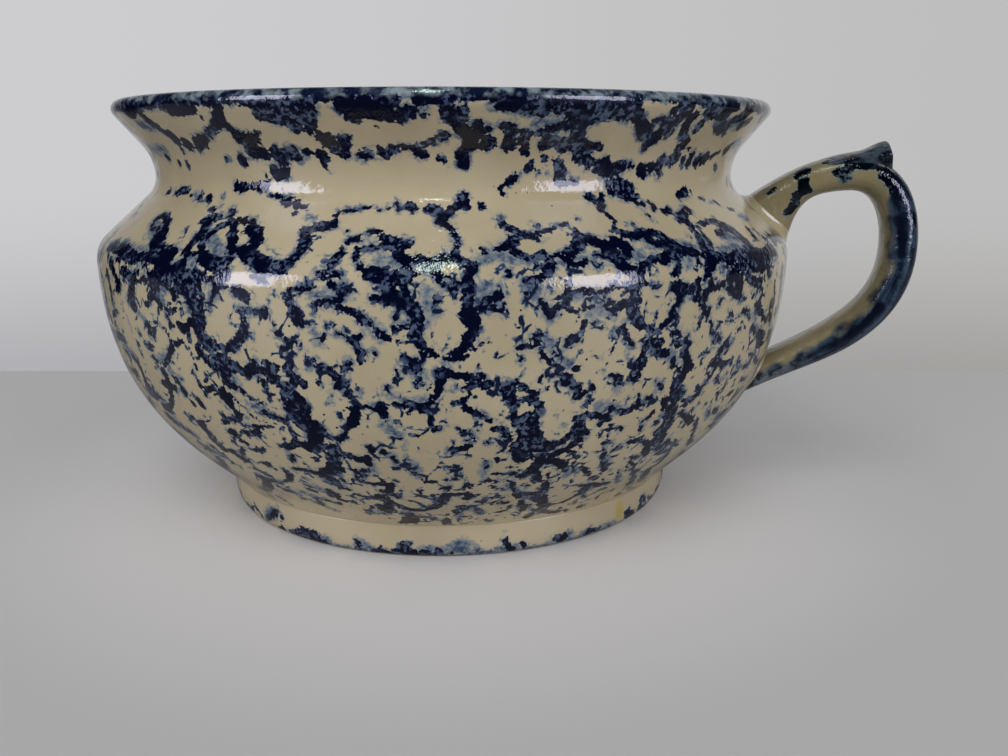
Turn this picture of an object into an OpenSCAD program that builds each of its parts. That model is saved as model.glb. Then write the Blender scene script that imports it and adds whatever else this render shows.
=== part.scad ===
// Chamber pot: a wide, squat stoneware bowl on a foot ring, with a flared rim and one loop handle.
// Millimetres. The origin is the middle of the foot on the ground, +Z is up and the handle points to +X.

/* [Body] */
// Outer diameter of the rim
rim_d = 228; // [218:1:240]
// Height from the ground to the top of the rim
pot_h = 140.8; // [136:0.2:148]
// Outer diameter at the neck, the narrowest place under the rim
neck_d = 204; // [199:0.5:208]
// Height of the flared rim, from the neck up to the top
flare_h = 23.8; // [21:0.2:28]
// Outer diameter of the belly, the widest place
belly_d = 245; // [238:0.5:254]
// Height of the shoulder, from the widest place up to the neck
shoulder_h = 27; // [25:0.5:31]
// Thickness of the wall
wall_t = 5.4; // [4.6:0.1:5.6]
// Thickness of the floor
floor_t = 6; // [5:0.5:8]
// Radius of the round bead along the lip
lip_r = 2.8; // [2.7:0.1:3.4]
// Outer radius of the bend from the belly into the shoulder
shoulder_r = 10.5; // [8:0.5:12]
// Radius of the hollow under the neck
neck_low_r = 8.5; // [7:0.5:10]
// Radius of the hollow above the neck
neck_high_r = 15.4; // [12:0.2:18]
// Angle at which the belly leaves the foot, measured from level
belly_angle = 48; // [44:0.5:54]
// Stiffness of the belly curve at the foot
belly_low_pull = 19; // [15:0.5:24]
// Stiffness of the belly curve at the widest place
belly_high_pull = 50.4; // [44:0.2:56]

/* [Foot ring] */
// Outer diameter at the crease between belly and foot
crease_d = 165.2; // [161:0.2:170]
// Height of the crease
crease_z = 11.4; // [10.6:0.1:13]
// Outer diameter of the face the pot stands on
stand_d = 158; // [154:0.5:161]
// Width of the face the pot stands on
stand_w = 7; // [4:0.5:9]
// How far the foot swells out past the crease
foot_swell = 0.8; // [0.4:0.1:2]
// Depth of the hollow under the floor
hollow_h = 5.5; // [5:0.1:6.5]
// Radius of the inner corner of the foot
foot_corner_r = 2.5; // [1:0.5:4]

/* [Handle] */
// Width of the handle, across its loop
handle_w = 19.2; // [15:0.2:23]
// Thickness of the handle halfway along, in the plane of its loop
handle_mid_t = 12; // [10:0.2:13]
// Thickness of the handle near its ends
handle_end_t = 9.8; // [9:0.2:12]
// Height above the widest place at which the handle's centre line leaves the shoulder
handle_seat_h = 15; // [13:0.5:17]
// Rise of the handle's centre line from its upper end to its crown
handle_rise = 12.5; // [10:0.5:15]
// Drop of the handle's centre line from its crown to its farthest point
handle_bend_h = 25.1; // [21:0.1:29]
// Height of the handle's upper end above its lower end, on the centre line
handle_h = 60; // [54:0.5:65]
// Clear gap between the belly and the handle at its farthest point
finger_gap = 32.4; // [28:0.2:40]
// How far the crown stands back from the farthest point
crown_back = 17.5; // [15:0.5:20]
// Upward angle at which the handle leaves the shoulder
handle_top_angle = 34; // [28:0.5:38]
// Downward angle at which the handle meets the belly
handle_low_angle = 27; // [20:1:34]
// Stiffness of the handle's curve at the shoulder
handle_top_pull = 8; // [6:0.5:11]
// Stiffness of the handle's curve before its crown
handle_crown_pull = 14; // [11:0.5:17]
// Stiffness of the handle's curve below its farthest point
handle_drop_pull = 28; // [25:0.5:32]
// Stiffness of the handle's curve at the belly
handle_low_pull = 26; // [20:0.5:32]
// How far the upper end swells downwards where it meets the shoulder
top_swell = 12; // [8:0.5:14]
// How far both ends widen on each side where they meet the wall
end_widen = 1.8; // [0.5:0.1:3]

/* [Thumb rest] */
// How far the end of the thumb rest reaches out past the crown
thumb_reach = 11.2; // [9:0.1:13]
// How far the end of the thumb rest stands above the crown
thumb_lift = 2.8; // [2.4:0.1:3.6]
// Width of the thumb rest
thumb_w = 17.6; // [15:0.2:18.4]
// Upward slope of the thumb rest at its end
thumb_angle = 7.5; // [6:0.5:9]
// How much higher the middle of the thumb rest stands than its edges
thumb_arch = 2; // [1.4:0.1:2.4]
// How far the middle of the end turns up into a beak
beak_rise = 2.2; // [1.2:0.1:2.8]
// How much is rounded off the end of the beak
beak_blunt = 1; // [0.5:0.1:1.4]

/* [Luting] */
// How far the bead of slip spreads along the wall
slip_spread = 2.4; // [1.6:0.1:3]
// How far the bead of slip stands up from the wall
slip_rise = 2.4; // [1.6:0.1:3]

/* [Hidden] */
cream = "#b5aa8c";
bare_cream = "#a79e8b";
olive_cream = "#a39b78";
slip_cream = "#b0a47f";
// Steps along each curve, and sides round the handle, the thumb rest, the body and the trimming shape
belly_steps = 22;
bend_steps = 8;
lip_steps = 16;
fillet_steps = 6;
swell_steps = 10;
path_steps = 14;
handle_sides = 28;
thumb_steps = 12;
thumb_sides = 14;
body_sides = 180;
trim_sides = 720;
// A higher exponent squares the rounded section of the handle
handle_square = 2.4;
// How far the slip reaches into the wall and the handle before it is trimmed, and at its upper edge
slip_bite = 0.8;
slip_tuck = 0.2;
// How near to an end, from 0 to 1, the handle starts to flare, and how late the upper flare opens
flare_from = 0.62;
flare_lag = 1.5;
// How far from an end, from 0 to 1, the handle starts to thicken and reaches its full thickness
thicken_from = 0.05;
thicken_to = 0.5;
// The share of its width with which the thumb rest starts, and the share of its length where it is full wide
thumb_root_w = 0.4;
thumb_wide_from = 0.55;
// The share of its width that the thumb rest keeps at its underside
thumb_under_w = 0.8;
// The share of the thumb rest's length at which its beak starts, and how much of its width the beak loses
beak_from = 0.78;
beak_taper = 0.12;
// Times that the search for the wall halves its span
halvings = 14;

rim_r = rim_d / 2;
neck_r = neck_d / 2;
belly_r = belly_d / 2;
crease_r = crease_d / 2;
stand_r = stand_d / 2;
// Heights of the neck and of the widest place
neck_z = pot_h - flare_h;
belly_z = neck_z - shoulder_h;
// Centres of the bends, as [radius, height]
shoulder_c = [belly_r - shoulder_r, belly_z];
neck_low_c = [neck_r + neck_low_r, neck_z];
neck_high_c = [neck_r + neck_high_r, neck_z];
lip_c = [rim_r - lip_r, pot_h - lip_r];
// Directions of the two straight stretches, between shoulder and neck and between neck and lip
shoulder_dir = angle_of(neck_low_c - shoulder_c)
    + lean(neck_low_c - shoulder_c, shoulder_r + neck_low_r);
flare_dir = angle_of(lip_c - neck_high_c) - lean(lip_c - neck_high_c, neck_high_r + lip_r);
// How far round the lip's bead goes past the wall's inner side
lip_wrap = acos((wall_t - lip_r) / lip_r);
// The belly from the crease to the widest place, as one smooth curve
belly_curve = [
    [crease_r, crease_z],
    [crease_r, crease_z] + belly_low_pull * heading(belly_angle),
    [belly_r, belly_z - belly_high_pull],
    [belly_r, belly_z]
];
// Inside, a round fillet joins the wall to the floor
floor_z = hollow_h + floor_t;
wall_start = belly_curve[0] + wall_t * heading(belly_angle + 90);
fillet_r = (wall_start[1] - floor_z) / (1 - cos(belly_angle));
fillet_c = wall_start + fillet_r * heading(belly_angle + 90);
// Radius of the outer wall at each height
outer_table = [for (p = wall_line(0)) [p[1], p[0]]];

// Heights on the handle's centre line
handle_top_z = belly_z + handle_seat_h;
handle_crown_z = handle_top_z + handle_rise;
handle_far_z = handle_crown_z - handle_bend_h;
handle_low_z = handle_top_z - handle_h;
// The centre line is three smooth curves, which meet at the crown and at the farthest point
handle_top = [lookup(handle_top_z, outer_table), handle_top_z];
handle_low = [lookup(handle_low_z, outer_table), handle_low_z];
handle_far = [belly_r + finger_gap + handle_mid_t / 2, handle_far_z];
handle_crown = [handle_far[0] - crown_back, handle_crown_z];
// How full the bend is from the crown to the farthest point: 0.55 would be a quarter round
bend_fullness = 0.62;
rise_curve = [
    handle_top,
    handle_top + handle_top_pull * heading(handle_top_angle),
    handle_crown - [handle_crown_pull, 0],
    handle_crown
];
bend_curve = [
    handle_crown,
    handle_crown + [bend_fullness * crown_back, 0],
    handle_far + [0, bend_fullness * (handle_crown_z - handle_far_z)],
    handle_far
];
drop_curve = [
    handle_far,
    handle_far - [0, handle_drop_pull],
    handle_low + handle_low_pull * heading(handle_low_angle),
    handle_low
];
// How far each end runs on inside the wall before it is trimmed to the wall
root_l = 14;
// How fast the first and the last curve set off from the wall
rise_speed = 3 * handle_top_pull;
drop_speed = 3 * handle_low_pull;
// Stations along the handle, from its upper root to its lower root
handle_stations = concat(
    [upper_station(-root_l)],
    [for (i = [0 : path_steps]) upper_station(i / path_steps * rise_speed)],
    [for (i = [1 : path_steps]) let (t = i / path_steps)
        [on_curve(bend_curve, t), curve_dir(bend_curve, t), (1 - t) / 2, 0]],
    [for (i = [path_steps - 1 : -1 : 0]) lower_station(i / path_steps * drop_speed)],
    [lower_station(-root_l)]
);
// The thumb rest starts just under the handle's face, at this share of the rise to the crown, and its line
// runs on along the handle before it lifts off
thumb_start_share = 0.42;
thumb_low_pull = 16;
thumb_high_pull = 18;
thumb_start_dir = curve_dir(rise_curve, thumb_start_share);
thumb_start = on_curve(rise_curve, thumb_start_share)
    + handle_end_t / 2 * heading(thumb_start_dir + 90);
thumb_end = handle_crown + [thumb_reach, handle_mid_t / 2 + thumb_lift];
thumb_curve = [
    thumb_start,
    thumb_start + thumb_low_pull * heading(thumb_start_dir),
    thumb_end - thumb_high_pull * heading(thumb_angle),
    thumb_end
];
// The share of the thumb rest's length at which the rounding of its end starts
blunt_from = 1 - beak_blunt / norm(thumb_end - thumb_start);
// How deep the thumb rest reaches down into the handle before it is trimmed to it
thumb_depth = 8;

function heading(a) = [cos(a), sin(a)];
function angle_of(v) = atan2(v[1], v[0]);
// Angle between the line through two circles' centres and the line that touches both, one on each side
function lean(between, radii) = atan2(radii, sqrt(between * between - radii * radii));
// Points along an arc; first is 1 where the point at its start is already there
function arc(c, r, from, to, steps, first = 0) =
    [for (i = [first : steps]) c + r * heading(from + (to - from) * i / steps)];
function on_curve(c, t) = let (u = 1 - t)
    u * u * u * c[0] + 3 * u * u * t * c[1] + 3 * u * t * t * c[2] + t * t * t * c[3];
function curve_dir(c, t) = let (u = 1 - t)
    angle_of(u * u * (c[1] - c[0]) + 2 * u * t * (c[2] - c[1]) + t * t * (c[3] - c[2]));
// Rises smoothly from 0 to 1 as x goes from a to b
function ease(a, b, x) = let (t = min(1, max(0, (x - a) / (b - a)))) t * t * (3 - 2 * t);

// The wall from the foot to the lip at a depth under the outer face, as [radius, height]
function wall_line(depth) = concat(
    [for (i = [0 : belly_steps]) let (t = i / belly_steps)
        on_curve(belly_curve, t) + depth * heading(curve_dir(belly_curve, t) + 90)],
    arc(shoulder_c, shoulder_r - depth, 0, shoulder_dir - 90, bend_steps, first = 1),
    arc(neck_low_c, neck_low_r + depth, shoulder_dir + 90, 180, bend_steps),
    arc(neck_high_c, neck_high_r + depth, 180, flare_dir + 90, bend_steps, first = 1)
);
function backwards(list) = [for (i = [len(list) - 1 : -1 : 0]) list[i]];

// A sine or cosine, swelled so that a round section turns squarer as the exponent grows
function bulge(x, square) = sign(x) * pow(abs(x), 2 / square);

// A station of the handle: its place, its direction and how near it is to the upper and the lower end,
// from 0 to 1. The distance s is measured out from the wall, and is negative inside the wall.
function upper_station(s) = let (t = s / rise_speed)
    s < 0 ? [handle_top + s * heading(handle_top_angle), handle_top_angle, 1, 0]
    : [on_curve(rise_curve, t), curve_dir(rise_curve, t), 1 - t / 2, 0];
function lower_station(s) = let (t = 1 - s / drop_speed)
    s < 0 ? [handle_low + s * heading(handle_low_angle), handle_low_angle + 180, 0, 1]
    : [on_curve(drop_curve, t), curve_dir(drop_curve, t), 0, t];

// One point round the handle's section at a station, grown outwards by a margin
function handle_point(s, side, grow) =
    let (
        a = 360 * side / handle_sides,
        upper = pow(ease(flare_from, 1, s[2]), flare_lag),
        lower = ease(flare_from, 1, s[3]),
        mid = ease(thicken_from, thicken_to, 1 - max(s[2], s[3])),
        half_w = handle_w / 2 + end_widen * (upper + lower) + grow,
        half_t = (handle_end_t + (handle_mid_t - handle_end_t) * mid) / 2 + grow,
        n = bulge(sin(a), handle_square) * (sin(a) > 0 ? half_t : half_t + top_swell * upper),
        out = heading(s[1] + 90)
    )
    [s[0][0] + n * out[0], half_w * bulge(cos(a), handle_square), s[0][1] + n * out[1]];
function handle_ring(s) = [for (side = [0 : handle_sides - 1]) handle_point(s, side, 0)];

// How far out along one side of the handle the outer wall is crossed, by halving the span n times
function in_wall(p) = norm([p[0], p[1]]) < lookup(p[2], outer_table);
function end_point(is_upper, s, side, grow) =
    handle_point(is_upper ? upper_station(s) : lower_station(s), side, grow);
function crossing(is_upper, side, grow, low = -root_l, high = root_l, n = halvings) =
    let (mid = (low + high) / 2)
    n == 0 ? mid
    : in_wall(end_point(is_upper, mid, side, grow)) ? crossing(is_upper, side, grow, mid, high, n - 1)
    : crossing(is_upper, side, grow, low, mid, n - 1);

// A ring of the thumb rest's section, at a share of its length, drawn in all round by an inset
function thumb_ring(share, inset = 0) =
    let (
        tip = ease(beak_from, 1, share),
        spread = thumb_root_w + (1 - thumb_root_w) * ease(0, thumb_wide_from, share),
        half_w = thumb_w / 2 * (spread - beak_taper * tip) - inset,
        up = heading(curve_dir(thumb_curve, share) + 90),
        top = on_curve(thumb_curve, share) - inset * up,
        under = top + (2 * inset - thumb_depth) * up
    )
    concat(
        [for (i = [0 : thumb_sides])
            let (
                across = 1 - 2 * i / thumb_sides,
                p = top + (beak_rise * tip - (thumb_arch + beak_rise * tip) * across * across) * up
            )
            [p[0], half_w * across, p[1]]],
        [for (side = [-1, 1]) [under[0], side * thumb_under_w * half_w, under[1]]]);

// A closed solid through a list of rings that all have the same number of points
module loft(rings) {
    sides = len(rings[0]);
    last = len(rings) - 1;
    skin = [for (r = [0 : last - 1], i = [0 : sides - 1])
        let (a = r * sides + i, b = r * sides + (i + 1) % sides)
        each [[a, b + sides, b], [a, a + sides, b + sides]]];
    start_cap = [for (i = [1 : sides - 2]) [0, i, i + 1]];
    end_cap = [for (i = [1 : sides - 2]) [last * sides, last * sides + i + 1, last * sides + i]];
    polyhedron(points = [for (ring = rings) each ring], faces = concat(skin, start_cap, end_cap));
}

// A closed band through a list of rings, the last of which joins the first
module closed_loop(rings) {
    sides = len(rings[0]);
    count = len(rings);
    skin = [for (r = [0 : count - 1], i = [0 : sides - 1])
        let (a = r * sides, b = (r + 1) % count * sides, j = (i + 1) % sides)
        each [[a + i, b + j, a + j], [a + i, b + i, b + j]]];
    polyhedron(points = [for (ring = rings) each ring], faces = skin);
}

// The space that the pot takes up with its bowl filled
module pot_envelope() {
    rotate_extrude($fn = trim_sides)
        polygon(concat([[0, hollow_h], [crease_r, hollow_h]], wall_line(0), [lip_c, [0, lip_c[1]]]));
}

// The handle before its ends are trimmed to the wall
module handle_blank() {
    loft([for (s = handle_stations) handle_ring(s)]);
}

// The bowl with its floor, shoulder, neck and flared rim, thrown in one piece
module pot_body() {
    color(cream)
        rotate_extrude($fn = body_sides)
            polygon(concat([[0, hollow_h], [crease_r - (crease_z - hollow_h), hollow_h]],
                wall_line(0),
                arc(lip_c, lip_r, flare_dir - 90, flare_dir + 90 + lip_wrap, lip_steps),
                backwards(wall_line(wall_t)),
                arc(fillet_c, fillet_r, belly_angle - 90, -90, fillet_steps, first = 1),
                [[0, floor_z]]));
}

// The ring that the pot stands on, pressed up against the underside of the bowl
module foot_ring() {
    inner_r = stand_r - stand_w - foot_corner_r;
    swell = [[stand_r, 0], [crease_r, 0], [crease_r + foot_swell, crease_z / 2], [crease_r, crease_z]];
    color(bare_cream)
        rotate_extrude($fn = body_sides)
            polygon(concat(
                [[crease_r - (crease_z - hollow_h), hollow_h], [inner_r, hollow_h]],
                arc([inner_r + foot_corner_r, foot_corner_r], foot_corner_r, 180, 270, fillet_steps),
                [for (i = [0 : swell_steps]) on_curve(swell, i / swell_steps)]));
}

// The loop handle, pressed in a mould and trimmed to the wall at both ends
module handle() {
    color(olive_cream)
        difference() {
            handle_blank();
            pot_envelope();
        }
}

// The ledge on the crown of the handle, with its turned-up beak
module thumb_rest() {
    color(olive_cream)
        difference() {
            loft(concat(
                [for (i = [0 : thumb_steps]) thumb_ring(i / thumb_steps * blunt_from)],
                [thumb_ring(1, beak_blunt)]));
            handle_blank();
        }
}

// The bead of slip in the corner between the wall and one end of the handle. It starts out as a ring
// with a three-sided section that reaches into the wall and the handle, and is trimmed to both.
module luting(is_upper) {
    rings = [for (side = [0 : handle_sides - 1])
        let (
            at_handle = crossing(is_upper, side, 0),
            at_spread = crossing(is_upper, side, slip_spread)
        )
        [
            end_point(is_upper, at_handle - slip_bite, side, -slip_bite),
            end_point(is_upper, at_spread - slip_bite, side, slip_spread),
            end_point(is_upper, at_handle + slip_rise, side, -slip_tuck)
        ]];
    color(slip_cream)
        difference() {
            closed_loop(is_upper ? backwards(rings) : rings);
            handle_blank();
            pot_envelope();
        }
}

module upper_luting() {
    luting(true);
}

module lower_luting() {
    luting(false);
}

pot_body();
foot_ring();
handle();
thumb_rest();
upper_luting();
lower_luting();
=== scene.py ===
import math

import bpy
import numpy as np
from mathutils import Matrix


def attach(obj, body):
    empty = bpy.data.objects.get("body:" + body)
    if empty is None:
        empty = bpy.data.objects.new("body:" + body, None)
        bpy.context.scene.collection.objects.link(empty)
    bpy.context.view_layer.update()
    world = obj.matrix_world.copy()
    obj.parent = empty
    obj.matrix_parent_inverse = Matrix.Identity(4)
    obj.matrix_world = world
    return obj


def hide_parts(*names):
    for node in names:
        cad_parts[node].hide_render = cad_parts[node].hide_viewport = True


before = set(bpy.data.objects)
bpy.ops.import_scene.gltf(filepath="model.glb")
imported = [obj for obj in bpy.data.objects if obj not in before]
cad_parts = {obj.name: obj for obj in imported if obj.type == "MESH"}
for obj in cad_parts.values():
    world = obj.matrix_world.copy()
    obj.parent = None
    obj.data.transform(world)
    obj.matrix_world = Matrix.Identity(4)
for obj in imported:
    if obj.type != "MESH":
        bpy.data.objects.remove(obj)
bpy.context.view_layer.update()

# Pot body
# The bowl with its floor, belly, shoulder, neck and flared rim, thrown in one piece from cream stoneware.
# A cut sponge dipped in cobalt blue was pressed all over the outside, then the pot was glazed clear.
mm = 0.001
rim_r = 114.0
pot_h = 140.79
neck_r = 102.0
neck_z = 117.0
belly_r = 122.5
belly_z = 90.0
wall_t = 5.4
lip_r = 2.8
shoulder_r = 10.5
neck_low_r = 8.5
neck_high_r = 15.4
belly_angle = 48.0
belly_low_pull = 19.0
belly_high_pull = 50.4
crease_r = 82.6
crease_z = 11.4
hollow_h = 5.5
floor_z = 11.5
outside_step = 0.9
inside_step = 2.0
floor_step = 6.0


def heading(angle):
    a = math.radians(angle)
    return np.array([math.cos(a), math.sin(a)])


def angle_of(v):
    return math.degrees(math.atan2(v[1], v[0]))


# Points on a curve that leaves its first end for the second point and comes to its last from the third
def bend(ends, t):
    t = np.asarray(t, float)[:, None]
    u = 1 - t
    a, b, c, d = (np.asarray(p, float) for p in ends)
    return u**3 * a + 3 * u * u * t * b + 3 * u * t * t * c + t**3 * d


# The direction of such a curve, in degrees
def bend_heading(ends, t):
    t = np.asarray(t, float)[:, None]
    u = 1 - t
    a, b, c, d = (np.asarray(p, float) for p in ends)
    v = u * u * (b - a) + 2 * u * t * (c - b) + t * t * (d - c)
    return np.degrees(np.arctan2(v[:, 1], v[:, 0]))


# An arc from one angle to another
def turn(centre, radius, start, end, steps):
    a = np.radians(np.linspace(start, end, steps + 1))
    return np.asarray(centre) + radius * np.stack([np.cos(a), np.sin(a)], 1)


# The length of a line up to each of its points
def lengths(points):
    return np.concatenate([[0], np.cumsum(np.linalg.norm(np.diff(points, axis=0), axis=1))])


# The same line with its points set evenly, about a step apart
def spaced(points, step):
    length = lengths(points)
    count = max(2, round(length[-1] / step))
    at = np.linspace(0, length[-1], count + 1)
    return np.stack([np.interp(at, length, points[:, k]) for k in (0, 1)], 1)


belly_curve = [
    np.array([crease_r, crease_z]),
    np.array([crease_r, crease_z]) + belly_low_pull * heading(belly_angle),
    np.array([belly_r, belly_z - belly_high_pull]),
    np.array([belly_r, belly_z]),
]
shoulder_c = np.array([belly_r - shoulder_r, belly_z])
neck_low_c = np.array([neck_r + neck_low_r, neck_z])
neck_high_c = np.array([neck_r + neck_high_r, neck_z])
lip_c = np.array([rim_r - lip_r, pot_h - lip_r])


# How far the straight that touches two rounds on opposite sides leans from the line between their middles
def lean(between, radii):
    return math.degrees(math.atan2(radii, math.sqrt(between @ between - radii * radii)))


shoulder_to_neck = neck_low_c - shoulder_c
shoulder_dir = angle_of(shoulder_to_neck) + lean(shoulder_to_neck, shoulder_r + neck_low_r)
neck_to_lip = lip_c - neck_high_c
flare_dir = angle_of(neck_to_lip) - lean(neck_to_lip, neck_high_r + lip_r)
lip_wrap = math.degrees(math.acos((wall_t - lip_r) / lip_r))


# The outside of the wall from the crease up to the flare, or the line at a depth inside it
def wall_line(depth):
    t = np.linspace(0, 1, 61)
    side = np.radians(bend_heading(belly_curve, t) + 90)
    belly = bend(belly_curve, t) + depth * np.stack([np.cos(side), np.sin(side)], 1)
    return np.concatenate([
        belly,
        turn(shoulder_c, shoulder_r - depth, 0, shoulder_dir - 90, 24)[1:],
        turn(neck_low_c, neck_low_r + depth, shoulder_dir + 90, 180, 24),
        turn(neck_high_c, neck_high_r + depth, 180, flare_dir + 90, 24)[1:],
    ])


outer_wall = wall_line(0)
lip_line = turn(lip_c, lip_r, flare_dir - 90, flare_dir + 90 + lip_wrap, 40)
inside_line = wall_line(wall_t)[::-1]
wall_foot = inside_line[-1]
fillet_r = (wall_foot[1] - floor_z) / (1 - math.cos(math.radians(belly_angle)))
fillet_c = wall_foot + fillet_r * heading(belly_angle + 90)
fillet_line = turn(fillet_c, fillet_r, belly_angle - 90, -90, 16)[1:]
outside = spaced(np.concatenate([outer_wall, lip_line]), outside_step)
inside = spaced(np.concatenate([lip_line[-1:], inside_line, fillet_line]), inside_step)[1:]
floor = spaced(np.array([inside[-1], [0.0, floor_z]]), floor_step)[1:]
seat_r = crease_r - crease_z + hollow_h
under = np.array([[r, hollow_h] for r in (0.0, 30.0, 60.0, seat_r)])


def wall_radius(height):
    return np.interp(height, outer_wall[:, 1], outer_wall[:, 0])


def ring_points(radius, height, columns):
    if radius == 0:
        return np.array([[0.0, 0.0, height]])
    a = np.radians(-180 + 360 / columns * np.arange(columns))
    return np.stack([radius * np.sin(a), -radius * np.cos(a), np.full(columns, height)], 1)


# Rings joined into a turned surface, where a ring may have half or twice the points of the one before it
def spin(rings):
    points, faces, start = [], [], []
    for radius, height, columns in rings:
        start.append(sum(len(p) for p in points))
        points.append(ring_points(radius, height, columns))
    for i in range(len(rings) - 1):
        low, high = start[i], start[i + 1]
        many, few = len(points[i]), len(points[i + 1])
        for j in range(max(many, few)):
            if many == 1:
                faces.append((low, high + (j + 1) % few, high + j))
            elif few == 1:
                faces.append((low + j, low + (j + 1) % many, high))
            elif many == few:
                k = (j + 1) % many
                faces.append((low + j, low + k, high + k, high + j))
            elif many == 2 * few and j < few:
                a, b, c = low + 2 * j, low + 2 * j + 1, low + (2 * j + 2) % many
                d, e = high + j, high + (j + 1) % few
                faces += [(a, b, d), (b, e, d), (b, c, e)]
            elif few == 2 * many and j < many:
                a, b, c = high + 2 * j, high + 2 * j + 1, high + (2 * j + 2) % few
                d, e = low + j, low + (j + 1) % many
                faces += [(d, b, a), (d, e, b), (e, c, b)]
    return np.concatenate(points), faces


def shape(name, points, faces):
    mesh = bpy.data.meshes.new(name)
    corners = [tuple(p) for p in np.asarray(points) * mm]
    mesh.from_pydata(corners, [], [tuple(int(i) for i in f) for f in faces])
    mesh.polygons.foreach_set("use_smooth", [True] * len(mesh.polygons))
    mesh.update()
    piece = bpy.data.objects.new(name, mesh)
    bpy.context.scene.collection.objects.link(piece)
    return piece


# A number at each point of a piece, which its material reads by name
def mark(piece, name, values):
    layer = piece.data.attributes.new(name, "FLOAT", "POINT")
    layer.data.foreach_set("value", np.asarray(values, np.float32))


columns = 960
rings = [(0, hollow_h, 1)] + [(r, z, columns // 2) for r, z in under[1:]]
rings += [(r, z, columns) for r, z in outside]
rings += [(r, z, columns // 2) for r, z in np.concatenate([inside, floor[:-1]])] + [(0, floor_z, 1)]
body_points, body_faces = spin(rings)
pot_body = shape("pot_body_glazed", body_points, body_faces)

# The print is drawn flat: degrees round the pot, 0 at the front and 90 at the handle, and millimetres up the
# wall from the ground. Each stroke is half its width and the points it follows.
crease_arc = 12.0
print_arc = crease_arc + lengths(outside)
print_r = outside[:, 0]
column_step = 360 / columns
reach = 7.0
far_off = 9.0
hand = np.random.default_rng(11)


# Smooth random swells over a grid that closes on itself
def cloud(grid, size):
    waves = np.hypot(np.fft.fftfreq(grid[0])[:, None], np.fft.fftfreq(grid[1])[None])
    sharp = np.fft.fft2(hand.standard_normal(grid))
    soft = np.fft.ifft2(sharp * np.exp(-2 * (math.pi * size * waves) ** 2)).real
    return soft / soft.std()


# The sponge sways a little at the front and more at the back, in millimetres
front_middle = 10
front_half = 55
front_fade = 15
front_sway = 0.4
more_sway = 1.2
round_pot = np.arange(columns) * column_step - 180
loose = front_sway + more_sway * np.clip((np.abs(round_pot - front_middle) - front_half) / front_fade, 0, 1)


# Lower a field to its distance from a stroke's edge, which is below nought inside the stroke
def press(field, half, line, arcs, radii, sway):
    line = [line[0], line[0]] if len(line) == 1 else line
    spread = math.degrees(reach / radii.min())
    first = math.floor((min(p[0] for p in line) - spread + 180) / column_step)
    last = math.ceil((max(p[0] for p in line) + spread + 180) / column_step)
    low, high = np.searchsorted(arcs, [min(p[1] for p in line) - reach, max(p[1] for p in line) + reach])
    if low == high:
        return
    at = np.arange(first, last + 1)
    scale = np.radians(radii[low:high, None])
    block = np.ix_(range(low, high), at % columns)
    x = (at[None] * column_step - 180) * scale + sway[0][block]
    y = arcs[low:high, None] + sway[1][block]
    near = np.full(x.shape, far_off)
    for (a0, s0), (a1, s1) in zip(line[:-1], line[1:]):
        x0, dx, dy = a0 * scale, (a1 - a0) * scale, s1 - s0
        along = ((x - x0) * dx + (y - s0) * dy) / np.maximum(dx * dx + dy * dy, 1e-9)
        along = np.clip(along, 0, 1)
        near = np.minimum(near, np.hypot(x - x0 - along * dx, y - s0 - along * dy) - half)
    field[block] = np.minimum(field[block], near)


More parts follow.
